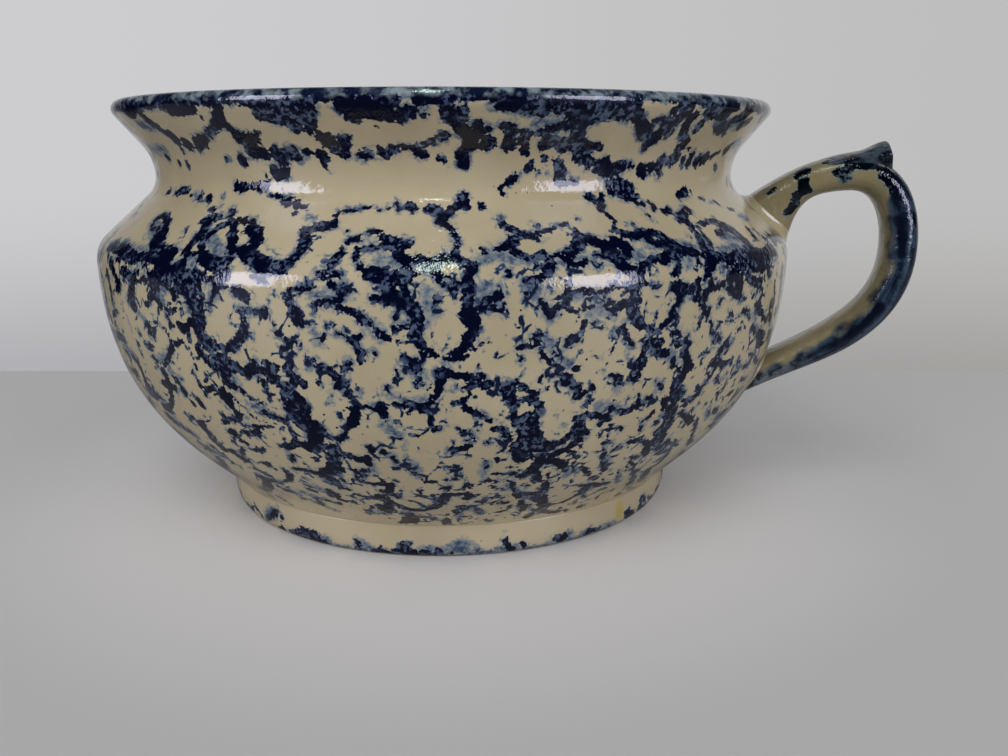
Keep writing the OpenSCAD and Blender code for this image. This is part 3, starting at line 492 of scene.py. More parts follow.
    (1.0, [(28.4, 20.4), (29.4, 18.6)]), (1.5, [(30, 20.6), (31, 18)]),
    (1.5, [(31, 17.4), (33, 15.6), (35, 14.2)]), (1.5, [(29, 16.4), (28, 15), (28, 13.6)]),
    (0.9, [(16.6, 42.4), (18, 43.2), (20, 42.2), (21.6, 41.4)]), (1.3, [(16.8, 42)]),
    (1.0, [(18.4, 40.6), (19.2, 39)]), (1.0, [(19.6, 38.4), (20.4, 37.6)]),
    (1.2, [(14, 41.6), (15.2, 41), (14.4, 39.6)]), (1.1, [(13.6, 40.6), (13.4, 39)]),
    (0.9, [(24.2, 39.6), (24.4, 38.8)]), (1.4, [(14, 36.4), (15, 35), (14, 33.6)]),
    (1.2, [(16.4, 31.2), (17, 30.8)]), (1.1, [(17.8, 33), (17.8, 30), (17.6, 28)]),
    (0.7, [(18.6, 32.6), (20.4, 32)]), (0.8, [(19.8, 28.4), (21.2, 28)]), (0.8, [(18.6, 28.6), (19, 27.6)]),
    (1.4, [(12.6, 27), (14.6, 26.4), (16.4, 27)]), (1.2, [(14.4, 25)]),
    (1.3, [(16.6, 25), (17.4, 23), (17.4, 21)]), (1.2, [(12.4, 23)]), (0.9, [(14.6, 19)]),
    (0.8, [(20, 20.6), (21.6, 20.4), (22.4, 22), (22.8, 25.6)]), (0.7, [(24.2, 17), (25.4, 16.6)]),
    (0.9, [(18, 15.2), (19.2, 14)]), (1.2, [(43.4, 20), (44, 18)]), (1.2, [(42.4, 27.4), (43.4, 26.4)]),
    (1.0, [(37.6, 25), (38, 23.6)]), (0.8, [(39.4, 22)]), (1.2, [(41, 14.6), (42, 14)]),
    (1.0, [(36.4, 15), (37.4, 14)]), (0.8, [(37.6, 18.6)]), (1.4, [(45.6, 102), (46, 103.4)]),
    (0.9, [(47.2, 104.2), (47.8, 105)]), (1.4, [(48.6, 103.4), (49, 102)]),
    (1.2, [(49, 102.2), (50.6, 101.6), (51.4, 102.4)]), (1.1, [(48.4, 101.4), (47.4, 100)]),
    (1.5, [(47.4, 99.6), (46.8, 97), (47.4, 96)]), (1.3, [(47.6, 95), (47.4, 93.4)]),
    (1.2, [(48.6, 95.4), (48.4, 94)]), (1.0, [(47, 92.4), (47, 90.4)]), (0.8, [(48.4, 92)]),
    (0.9, [(50.6, 96.4), (51.2, 97.8)]), (1.0, [(48, 106.6), (49.4, 107)]),
    (1.0, [(49.4, 91.6), (50, 90.4)]), (1.0, [(51.6, 90)]), (1.2, [(50, 89), (50.8, 87.6)]),
    (1.4, [(51.4, 87), (52, 85.6)]), (0.8, [(51, 84.8)]), (0.7, [(49.6, 83.2)]), (0.8, [(48.6, 82)]),
    (0.9, [(46, 86.4), (45.4, 85.6)]), (1.0, [(44.8, 88)]), (2.1, [(53, 104), (54.6, 104.4)]),
    (1.9, [(55, 103), (56, 101)]), (1.4, [(56, 99.8)]), (1.3, [(53, 99.6), (54.6, 98.4)]),
    (1.2, [(53.4, 101.6)]), (1.2, [(55, 97.4), (56.4, 96)]), (1.0, [(57, 104.4), (56.4, 103)]),
    (1.2, [(54.6, 106), (57, 107)]), (1.3, [(58.2, 102.4), (60, 101.4), (62, 101.4)]),
    (1.7, [(60.6, 100.4), (62.6, 100.6)]), (0.8, [(60, 96.4), (61.4, 97.4)]),
    (1.2, [(62.6, 99), (63.4, 97)]), (1.3, [(63.4, 96), (62.6, 93.6)]), (1.5, [(61.6, 93.4), (63.4, 92)]),
    (2.2, [(60, 106.4), (65, 106)]), (1.4, [(65.4, 103), (66.4, 101.6)]), (1.2, [(69, 103)]),
    (1.5, [(69, 99), (70, 95)]), (2.0, [(68, 92), (70, 93)]), (1.7, [(68, 89), (70, 87)]),
    (0.8, [(53, 94), (53.4, 93.6)]), (0.7, [(53, 91), (54.6, 90.6), (55.4, 89.4)]),
    (0.6, [(55.6, 91.2), (56.4, 91.4)]), (0.8, [(56, 87.4), (56.2, 86)]), (0.9, [(56.8, 86.8), (58, 87)]),
    (0.7, [(56.4, 85)]), (1.3, [(57, 92.6), (58.6, 91.6)]), (1.2, [(58.8, 90.4), (60, 89)]),
    (1.5, [(62, 91), (64.6, 89.6)]), (1.3, [(64.6, 88.6), (67.6, 87)]), (1.3, [(61.6, 86), (63, 84.4)]),
    (1.2, [(54, 84.4), (55, 83)]), (1.2, [(53, 82.4), (52.6, 81)]), (1.2, [(54.4, 81)]),
    (1.9, [(52, 78), (54, 77), (55, 76)]), (1.5, [(53, 76), (52.4, 74)]), (1.4, [(55.6, 76), (56.6, 77)]),
    (0.7, [(50.4, 76.6)]), (1.1, [(57.1, 72.2)]), (1.3, [(54.4, 71.6), (55, 70.4)]),
    (1.0, [(55.4, 69.8), (56, 69.4)]), (1.9, [(46, 80), (45.6, 77), (45.4, 74)]),
    (2.1, [(46, 73), (46, 70)]), (1.5, [(46.6, 71.6), (47, 69.6)]),
    (1.3, [(47.6, 68), (49, 67.4), (50, 67.2)]), (1.5, [(50.4, 68), (51.2, 70.6), (52, 73)]),
    (1.3, [(46, 82), (47.4, 79)]), (1.0, [(48, 78.4)]), (1.0, [(58.2, 69.4), (58.6, 68.6)]),
    (1.1, [(57.4, 66.6), (58, 66)]), (1.1, [(56.8, 65.4), (57.2, 63)]), (0.9, [(51.4, 62.4)]),
    (0.7, [(54.4, 62.4)]), (0.7, [(60.2, 79.8)]), (0.8, [(59.8, 77), (59.4, 74)]),
    (1.0, [(59.6, 71.4), (61, 71.6)]), (1.3, [(63, 72.4), (65, 73)]), (0.7, [(62, 79), (63.4, 78.6)]),
    (1.0, [(61, 63.4), (63, 63.6)]), (2.0, [(65, 83.6), (68, 82)]), (1.7, [(66, 80), (69, 79)]),
    (1.3, [(64.6, 67), (66, 66.6)]), (2.4, [(45.4, 66), (46.6, 64)]), (2.6, [(46.6, 62), (47, 59)]),
    (1.9, [(48.6, 62.4), (50, 60.6)]), (1.7, [(50.4, 60), (52, 58)]), (2.4, [(46.6, 58), (46, 55.6)]),
    (1.9, [(45, 53), (44.6, 51)]), (1.5, [(46.6, 50.6), (47, 53.4)]), (1.5, [(51.4, 58), (52.4, 56)]),
    (1.5, [(47.6, 48), (49.6, 47.6)]), (1.5, [(49, 45), (51, 44)]), (1.3, [(49, 50), (51, 48), (52.6, 46)]),
    (1.2, [(53.2, 46.8)]), (1.2, [(54.4, 55.6), (55.4, 53)]), (1.2, [(55.6, 52), (57, 49), (58, 46)]),
    (1.2, [(58, 45.6), (60, 42.6)]), (1.0, [(46.6, 41.2)]), (1.2, [(51, 38.6)]),
    (1.6, [(52.4, 42), (53, 38), (53, 35)]), (1.2, [(45, 38.4), (47, 36), (48, 33)]),
    (1.3, [(48.6, 31.6), (50, 28.6)]), (2.0, [(51.6, 33), (52.6, 29), (54, 26)]),
    (1.6, [(50, 26), (51, 23)]), (1.6, [(54.6, 24), (57, 21.6), (60, 20)]),
    (1.5, [(54, 18.6), (57, 15.6), (60, 13.6)]), (1.2, [(52, 15.6), (54, 14)]), (1.0, [(46.6, 22.6)]),
    (1.2, [(45, 30)]), (1.5, [(61, 36), (64, 33)]), (1.5, [(62, 28), (66, 26)]),
    (1.5, [(63, 50), (66, 47)]), (1.3, [(61, 24), (64, 20)]), (1.9, [(64, 53), (66, 54)]),
    (1.3, [(60, 57), (58.6, 59)]), (1.3, [(65, 60), (67, 62)]), (1.3, [(68, 56), (70, 54)]),
    (1.3, [(66, 40), (69, 37)]), (1.3, [(64, 15.4), (67, 18)]), (1.4, [(67, 74), (70, 71)]),
    (1.3, [(64, 77), (66, 76)]),
]
belly_wash = [
    (1.8, [(-18.6, 103), (-19.4, 100)]), (2.0, [(-18, 79.6), (-17, 78)]), (1.2, [(-13.4, 78), (-12.6, 75)]),
    (1.8, [(-14, 69), (-11, 66.6)]), (0.9, [(-4.1, 73.4), (-3.8, 75.4), (-3.4, 78)]),
    (2.0, [(-6, 83), (-5.4, 85)]), (1.6, [(-5.6, 95.6), (-4.4, 92), (-4.2, 90.4)]),
    (2.4, [(-2, 102), (-0.4, 104.6)]), (2.0, [(1.4, 97.4), (4, 93)]), (1.8, [(7.6, 85), (8.4, 82.6)]),
    (1.6, [(9.4, 102), (10.6, 99)]), (2.0, [(3, 66.4), (4.6, 63)]), (1.2, [(5.4, 61), (5.4, 57)]),
    (1.8, [(5.6, 54.8), (6.8, 52), (7.4, 50)]), (1.6, [(-8.6, 86), (-8.4, 88)]),
    (2.0, [(-16.6, 71), (-14, 70)]), (2.2, [(-9, 41), (-6, 39)]), (2.4, [(-13, 36), (-9, 33)]),
    (2.2, [(-17, 30), (-13, 27)]), (2.0, [(-16, 23), (-13, 19)]), (2.2, [(0, 26), (-1.4, 22)]),
    (2.0, [(3, 20), (4, 16)]), (1.6, [(0.4, 51), (0.4, 47)]), (1.6, [(4.2, 76), (7, 74.4), (9, 75)]),
    (2.0, [(-38, 96.4), (-36.4, 94.6)]), (1.1, [(-39.6, 89.8), (-39.2, 87)]),
    (1.4, [(-35, 93.4), (-34, 91.6), (-33.4, 89)]), (1.6, [(-28.4, 104), (-28.2, 102)]),
    (1.8, [(-28, 95), (-27.4, 92)]), (2.2, [(-31, 82), (-33, 80)]), (1.8, [(-31, 77), (-29, 75)]),
    (2.6, [(-40, 66), (-37, 63)]), (2.4, [(-44, 80), (-41, 77)]), (2.4, [(-33, 46), (-30, 44)]),
    (2.6, [(-38, 55), (-34, 52)]), (2.6, [(-36, 35), (-40, 30)]), (2.4, [(-28, 26), (-32, 21)]),
    (2.6, [(-36, 18), (-32, 16)]), (2.2, [(-20, 30), (-18, 27)]), (2.6, [(16.4, 105), (16, 101.6)]),
    (2.2, [(21.4, 106), (22, 103.6)]), (1.6, [(23, 101), (23.6, 98), (24.2, 96.4)]),
    (1.6, [(30, 102.8), (30.2, 100.6)]), (1.3, [(35, 88), (34.8, 87)]), (2.4, [(23.6, 90.6), (25, 88)]),
    (2.0, [(25.6, 86), (27, 85)]), (1.8, [(34, 76.4), (34.4, 75)]), (2.2, [(42.6, 84.6), (44, 82)]),
    (1.6, [(41, 75.4), (42.6, 73)]), (2.4, [(32, 70), (35, 68.6)]), (1.1, [(25.8, 69.2)]),
    (1.0, [(27.4, 65)]), (1.8, [(31, 47), (32.6, 44)]), (1.8, [(30, 46), (30.6, 43)]),
    (1.8, [(17, 52), (17.2, 46)]), (1.8, [(21, 40), (22.4, 36)]), (2.4, [(24, 34), (25, 30)]),
    (2.2, [(36, 50), (37.4, 45)]), (2.4, [(40, 32), (37, 28)]), (2.0, [(12.6, 22), (13.6, 18)]),
    (2.0, [(26.6, 24), (27.6, 21)]), (2.0, [(16.4, 24), (17.6, 22)]), (2.0, [(43, 36), (45, 31)]),
    (2.4, [(54, 101), (56, 97)]), (2.0, [(58, 92), (62, 89)]), (2.2, [(62, 86), (66, 82)]),
    (2.0, [(53, 81), (56, 84)]), (2.0, [(46, 66), (44, 64)]), (2.4, [(46, 51), (49, 48)]),
    (2.4, [(49, 46), (52, 43)]), (2.4, [(51, 33), (54, 26)]), (2.2, [(50, 25), (54, 20)]),
    (2.2, [(56, 60), (58, 56)]), (2.4, [(62, 54), (66, 52)]), (2.4, [(60, 30), (66, 27)]),
    (1.4, [(49, 82), (51, 83)]), (1.6, [(59.6, 76), (60.6, 73), (64, 73)]),
]
# The upper rows, where only parts of the sponge took: the shoulder, then the flare
shoulder_rope = [
    (1.1, [(-45, 133.5), (-43.8, 134)]), (1.2, [(-41.5, 134.2), (-39, 135.3), (-36.3, 135.6)]),
    (0.9, [(-35.2, 133.8), (-34.6, 134)]), (0.9, [(-33.7, 134.3)]), (1.2, [(-32.5, 133), (-31.5, 132)]),
    (0.6, [(-32, 134.8), (-31.4, 134.6)]), (1.3, [(-30, 133.2), (-29, 131.8)]), (1.0, [(-28.8, 131)]),
    (1.4, [(-27.2, 129), (-26.4, 128.3)]), (0.6, [(-26.2, 133.6), (-25.4, 130.6)]),
    (1.3, [(-22.5, 129.2), (-21.8, 127.2)]), (1.4, [(-23, 136.4), (-20, 137), (-17.2, 137.4)]),
    (0.5, [(-17.3, 140.2)]), (0.6, [(-16.8, 139.2)]), (0.9, [(-16.2, 134.8)]), (0.9, [(-14.8, 135.2)]),
    (0.6, [(-12.6, 135)]), (1.3, [(-13.4, 133.6), (-12.6, 132.6)]), (1.1, [(-11.2, 133), (-10.8, 132)]),
    (1.1, [(-10, 131.6), (-9.8, 131)]), (0.6, [(-10.8, 129.4), (-10.6, 128.8)]),
    (1.6, [(-40, 123), (-38.5, 125.5)]), (1.8, [(-37, 124.8), (-35, 123), (-33.5, 120), (-32.6, 116.5)]),
    (1.2, [(-39, 121), (-38, 119.5), (-35.5, 120)]),
    (2.4, [(-34.5, 118), (-33.5, 115), (-31, 113), (-28, 112.2)]), (1.0, [(-29.2, 121), (-28.9, 119.8)]),
    (0.8, [(-28.8, 118), (-29, 115.5)]), (1.6, [(-26.8, 124.4), (-25.4, 126), (-24, 126.6)]),
    (1.8, [(-25.6, 124), (-25.4, 119), (-25.8, 114)]),
    (1.4, [(-22.6, 123.6), (-23.6, 120), (-23.6, 116), (-22.5, 113.5)]),
    (1.2, [(-21.6, 124.6), (-19.6, 126)]), (1.1, [(-20, 125), (-19.4, 123)]),
    (1.2, [(-18.4, 126.6), (-17.8, 125.6)]), (1.1, [(-17, 126.4), (-16.6, 125)]),
    (1.6, [(-19.2, 121.5), (-18.2, 118), (-17.2, 114.5)]),
    (2.0, [(-16.4, 123.6), (-15, 121.4), (-14.2, 118), (-14.6, 115)]),
    (2.8, [(-15.4, 115), (-13.6, 112), (-11, 110.4), (-9, 110.6)]),
    (1.6, [(-8.4, 111.4), (-7.4, 114), (-6.8, 118), (-7.4, 121.5)]),
    (1.6, [(-7.8, 123.2), (-6, 124.6), (-4.8, 125.2)]), (1.2, [(-3.8, 126.6), (-3.6, 125)]),
    (1.0, [(-3.9, 128.6), (-3.4, 129.2)]), (0.9, [(-2.3, 130), (-1.7, 130.4)]),
    (0.7, [(-0.6, 131.1), (0.5, 131.4)]), (0.6, [(1.8, 130.8), (2.4, 130.9)]), (0.6, [(3.2, 131.6)]),
    (0.6, [(4.4, 133.6)]), (0.8, [(4.8, 131.2), (5, 132)]), (1.6, [(6.4, 132.6), (7.2, 131.6)]),
    (0.6, [(7, 130.2), (7.1, 129.4)]), (1.7, [(9.4, 130.6), (10.6, 130.2)]), (0.8, [(-1.6, 123)]),
    (0.6, [(-5.9, 121), (-5.7, 120.6)]), (0.7, [(-5.9, 115.4)]),
    (1.2, [(-1.6, 118.5), (-0.8, 120.2), (0, 121)]), (1.0, [(1.4, 122), (2.8, 122.2)]),
    (1.6, [(3.4, 120.4), (5, 120.6), (6.6, 119)]), (2.4, [(4.2, 119), (5.4, 116), (6.6, 113.5)]),
    (1.0, [(0.8, 115.6), (3, 117)]), (0.9, [(-2, 117), (-2.4, 113), (-2.6, 110)]),
    (0.8, [(-0.2, 116.4), (0.2, 113), (1.4, 110)]), (2.6, [(2.8, 109), (5, 107.6), (7, 108.6)]),
    (1.3, [(14.3, 134.4), (14.4, 132.6), (14.6, 131)]), (1.4, [(13.2, 131), (11.6, 128.6), (10.9, 126.8)]),
    (1.3, [(11, 126.6), (12.6, 124.6), (13.2, 122)]), (1.2, [(13.4, 121.5), (13.4, 118), (12.9, 115.4)]),
    (2.0, [(12.4, 114.4), (9.6, 113), (7, 113.6)]), (1.1, [(17, 131.6), (17.2, 130.8)]),
    (0.5, [(20, 134.8)]), (1.1, [(19.4, 127), (19.4, 125.6), (20.6, 124), (21.6, 122.4)]),
    (1.2, [(21.8, 121.6), (23.4, 120)]), (0.8, [(23.6, 124.4), (24, 124.2)]),
    (0.9, [(23.8, 122), (25.4, 122.6), (27, 124.6), (28.6, 125)]), (0.9, [(29, 123.6), (29.8, 122.4)]),
    (0.9, [(28, 121.6)]), (1.6, [(20.6, 121), (20, 118.6), (18.6, 117)]),
    (1.6, [(20, 116.4), (21, 114), (22.4, 113.4), (24, 114.6)]), (0.9, [(16.2, 117.6), (16.6, 116)]),
    (2.0, [(29.4, 120.4), (29, 117.6), (27.4, 114.6)]), (2.4, [(31, 119.6), (33, 117), (34, 113)]),
    (1.0, [(24.6, 112.8), (24, 110), (23.4, 108)]), (0.6, [(30.8, 127)]),
    (1.8, [(33.8, 133.8), (34.6, 133.4)]), (2.4, [(38.6, 136.4), (40, 135.4), (41, 135)]),
    (1.0, [(38.6, 138), (40.6, 137.8), (42.4, 136.4)]), (1.0, [(36.6, 134), (35.8, 131.6), (35.2, 129.4)]),
    (1.4, [(35.6, 131), (35, 129.6)]), (0.9, [(35.6, 127.6), (36.6, 125)]),
    (0.9, [(36.2, 123.6), (35.6, 122), (35.2, 121.8)]), (1.0, [(41.8, 134), (42.4, 131.6)]),
    (0.9, [(43.2, 134.2)]), (0.9, [(43.4, 131.6)]), (0.9, [(45, 132.2)]),
    (1.0, [(45.6, 130.6), (45.2, 129)]), (1.4, [(47.2, 127.8), (48, 128.2)]),
    (0.9, [(42.9, 127.6), (43.2, 125.6)]), (0.6, [(38.4, 123.8)]), (0.6, [(39.6, 123.4)]),
    (1.4, [(36.4, 121), (37.4, 119.6), (39, 119.4), (40.8, 120.6), (42.6, 120)]),
    (1.8, [(42.4, 119), (43.6, 116.4), (44.4, 114)]), (0.7, [(45.8, 118)]), (0.7, [(46.2, 116)]),
    (2.4, [(43, 114), (45, 112.6), (47, 112.4)]), (1.8, [(35, 118), (36.2, 115.4), (35.6, 113)]),
    (1.6, [(40.6, 117.6), (41.4, 115.6)]), (1.4, [(39.6, 110.6), (41.4, 110.2)]),
    (1.3, [(52.2, 128.8), (52.4, 127)]), (1.6, [(48.8, 124), (49.6, 125.6), (51, 126.4)]),
    (1.6, [(50, 123.4), (50.2, 119), (49.6, 114)]), (1.2, [(51.8, 120.8), (51.4, 117), (50.8, 113.6)]),
    (0.6, [(48.6, 118)]), (0.7, [(52.5, 113.2)]), (1.2, [(52.6, 134), (54, 134.4), (55.4, 134.6)]),
    (0.7, [(56.4, 134)]), (0.6, [(57, 135)]), (1.0, [(58.8, 132.6), (59.4, 132.6)]), (0.7, [(60.2, 132.6)]),
    (1.0, [(61, 130.6), (61.6, 130.2)]), (1.0, [(63, 130), (63.6, 128.6)]),
    (1.2, [(65.6, 126.2), (66.6, 125.4)]), (1.4, [(52.8, 122.6), (54.4, 124), (55, 124.4)]),
    (1.4, [(56, 124), (57.4, 123.2)]), (1.6, [(55, 119), (57, 118.6), (58.6, 119.6)]),
    (2.2, [(58, 121), (60, 118), (60.8, 114)]),
    (2.4, [(-48, 112), (-42, 110.6), (-36, 109.6), (-31, 110.6)]),
    (2.4, [(-30, 109), (-27, 107), (-25, 109)]), (2.2, [(34, 110), (36, 107.6)]),
    (2.0, [(50, 111), (54, 109), (58, 110)]), (2.4, [(60, 109.6), (64, 108), (69, 109)]),
    (1.8, [(-22, 111), (-19, 109), (-17, 111)]),
    (1.3, [(-25, 112.5), (-22, 112.5), (-19.8, 110.5), (-17.5, 110)]),
    (0.9, [(-39.5, 104.5), (-36, 102.5), (-33.5, 102.5), (-31.5, 104)]),
    (1.0, [(-36, 101.5), (-37.5, 98), (-37, 95)]), (0.8, [(-43.5, 100.5), (-41, 99.5), (-40.5, 101)]),
    (0.8, [(-42.3, 107.3), (-40.8, 107)]), (1.0, [(-34.3, 108), (-32.5, 107), (-31.8, 105)]),
    (1.4, [(-31, 105), (-30, 101)]), (1.0, [(-34, 97.5), (-33, 96.8), (-31.8, 98)]),
    (0.9, [(-30, 98), (-28.3, 96.3), (-26.5, 95.8)]), (1.4, [(-27.6, 103), (-26.5, 101), (-26, 99)]),
    (0.9, [(-30, 107), (-27, 107), (-25, 106), (-22.5, 106.5), (-20, 105.8)]),
    (0.9, [(-20, 105.8), (-18.4, 105), (-18, 102.5), (-19, 100.3), (-19.7, 97.5)]),
    (0.9, [(-22, 104), (-21, 101.5), (-20.2, 98.5)]), (1.2, [(-25, 104), (-23.8, 101.5)]),
    (1.2, [(-23.5, 102.5), (-22.7, 100), (-22, 96.3), (-21, 93)]),
    (0.9, [(-17.5, 107.5), (-16.4, 106), (-17.3, 104)]),
    (0.7, [(-20, 108.5), (-18.2, 107.8), (-17.6, 106.3)]),
    (0.8, [(-7.7, 104), (-6.2, 104.8), (-5, 104.8)]), (1.4, [(-4, 108.8), (-3, 108)]),
    (1.2, [(-2.4, 111), (-1.8, 114.5), (-2, 117)]), (0.9, [(-1.4, 119), (-0.7, 119.7), (0.3, 119.3)]),
    (1.0, [(0.3, 115.5), (2.1, 116.2), (3.1, 117)]), (1.1, [(0.3, 114.5), (0.6, 112), (1.6, 110.5)]),
    (1.1, [(-2.7, 109), (-0.9, 108.5)]), (1.3, [(-2.2, 106.2), (-0.7, 104.7), (-1, 102.5)]),
    (1.4, [(4, 105.8), (4.4, 103), (5.9, 102.4)]), (1.5, [(6.6, 104.7), (7.4, 101.6), (8.5, 99.3)]),
    (1.1, [(8.9, 109.7), (11.1, 109.3), (12.6, 107.7), (13.4, 106.2)]),
    (1.0, [(12.3, 104.3), (11.1, 106.2), (10.4, 107.7)]),
    (1.4, [(13.7, 114), (15.2, 112.3), (14.5, 109.6), (14.1, 107), (14.5, 103.8), (14.3, 100.8)]),
    (0.9, [(10.4, 102.4), (11.1, 102), (10.4, 100.5)]), (1.1, [(16, 101.5), (17.5, 102.4), (18, 103.8)]),
    (0.8, [(17.5, 99.3), (18.6, 98.8), (18.5, 100.5)]), (0.8, [(19.2, 109.3), (19.3, 108.5)]),
    (0.8, [(22.7, 110.3), (23.3, 111)]),
    (1.0, [(25, 114), (24.7, 110), (24, 108.4), (22.4, 107), (21.2, 106.6)]),
    (1.0, [(21, 103.8), (22, 103.2), (21.8, 104.7)]), (0.8, [(24, 104.6)]),
    (1.1, [(22.8, 101.6), (23.5, 99), (24.3, 97), (25, 99.7)]),
    (1.1, [(26.7, 105.5), (26.1, 102.5), (25.9, 99.7)]),
    (0.8, [(26.1, 99.7), (27.6, 98.2), (28.4, 96.2), (28.8, 94.3)]), (0.9, [(28.4, 104), (29.9, 102.4)]),
    (0.8, [(28, 97.8), (29.9, 98.9), (31, 100.5), (32.9, 100)]),
    (0.8, [(31, 103.9), (32.5, 104.3), (34, 103.5), (34.6, 102.3)]), (1.1, [(27.6, 110.4), (28.8, 111.2)]),
    (0.9, [(25.7, 114), (27.2, 112), (26.9, 110.5)]), (0.7, [(29.9, 110.8), (30.6, 109.7)]),
    (1.6, [(30.8, 113), (32.2, 112.4), (33.7, 110.5), (34.5, 109.7)]),
    (1.6, [(35.2, 109), (35.6, 106.2), (35.8, 103.2), (35.6, 100.5)]),
    (1.2, [(36.7, 106.3), (37.1, 109.3), (39, 110.9), (42.4, 111.2), (43.5, 110.5)]),
    (0.8, [(36.5, 104), (38.2, 103.2), (39.4, 103.2)]), (1.0, [(42.8, 107.5), (42.2, 105.9)]),
    (0.9, [(46.5, 109.7), (46.1, 107)]), (0.7, [(46.9, 108.5), (47.6, 107), (47.3, 104.3)]),
    (1.2, [(48.4, 110.8), (48.8, 107.4)]), (0.8, [(51, 106.6), (52.5, 107.4), (54, 108.6)]),
    (1.3, [(49.6, 108.6), (51, 109.7), (53.3, 110.4), (54.8, 109.7), (56.3, 109.3)]),
    (1.3, [(56.3, 109.3), (58.5, 107.7), (60.8, 106.6), (63, 108.5), (65.7, 108.9)]),
    (1.2, [(45.4, 102.6), (46.2, 101.4)]), (1.2, [(52.9, 104), (54.8, 104), (56, 105.4)]),
    (1.2, [(52.5, 100.8), (54.4, 100), (56, 98.5), (56.3, 96.7)]),
    (1.1, [(57.8, 102.4), (59.3, 101.3), (61.6, 100), (62.7, 98.5)]),
    (1.0, [(56, 106.6), (57.8, 106.2), (59.7, 104.7)]), (1.0, [(65, 104), (66.5, 101.6)]),
    (0.8, [(69, 103), (69.8, 101)]), (0.9, [(61.2, 104.7), (63.1, 104)]),
    (0.8, [(65.3, 117.8), (65.1, 114)]), (0.7, [(67.5, 117), (68.6, 114), (69, 111.7)]),
]
shoulder_wash = [
    (1.4, [(-8.6, 128.2), (-7.6, 127.2)]), (1.6, [(-44, 113), (-40, 112.5), (-35, 113)]),
    (1.8, [(-29.8, 108.5), (-28, 107.8), (-25.7, 109)]), (1.8, [(-25, 111.5), (-22.7, 109.8)]),
    (2.0, [(-20, 113), (-17, 113)]), (1.6, [(-23.5, 96.3), (-22, 97)]), (1.8, [(-29.5, 100), (-28.7, 97.8)]),
    (2.0, [(-39.3, 122.4), (-36.2, 120.8), (-34, 120)]), (1.2, [(-18.5, 104), (-18.4, 101)]),
    (1.2, [(-4.6, 103), (-3, 103), (-2, 105.5)]), (1.0, [(0.6, 119), (2.1, 118.5)]),
    (1.8, [(3.6, 113), (5.9, 112.3), (7.4, 111.5)]), (1.5, [(9.3, 104), (9.6, 100), (9.6, 96.3)]),
    (1.4, [(11.1, 107.7), (12.6, 106.2)]), (1.3, [(15.6, 113), (18.3, 114), (19.8, 112.3)]),
    (1.8, [(16, 101.5), (17.9, 103.2)]), (1.2, [(20.9, 112.4), (22.7, 112.8)]),
    (1.3, [(26.1, 111.5), (29.5, 112.3)]), (1.2, [(21.2, 106), (22.7, 104.7)]),
    (1.4, [(26.5, 102.4), (28.7, 103.2)]), (1.6, [(23.5, 100), (24.6, 98.2)]),
    (1.5, [(29.8, 97), (31, 98.6), (32.5, 97)]), (1.8, [(35.6, 113), (37.9, 112.7)]),
    (2.0, [(52.5, 112.4), (57, 112.4), (61.5, 111.6)]), (1.4, [(54.8, 105.5), (57, 106.6)]),
    (1.6, [(51.8, 100.8), (53.3, 102.4), (54.8, 98.6)]), (1.8, [(66, 107), (70, 107.8)]),
    (1.2, [(44.3, 107.8), (45, 110.4)]), (1.6, [(66.8, 122.4), (69, 123)]),
    (2.4, [(-38, 121), (-34, 118)]), (2.2, [(-24, 120), (-20, 115)]), (2.4, [(40, 116), (47, 114)]),
    (2.6, [(56, 118), (60, 116)]), (2.0, [(19, 118), (17, 114)]),
]
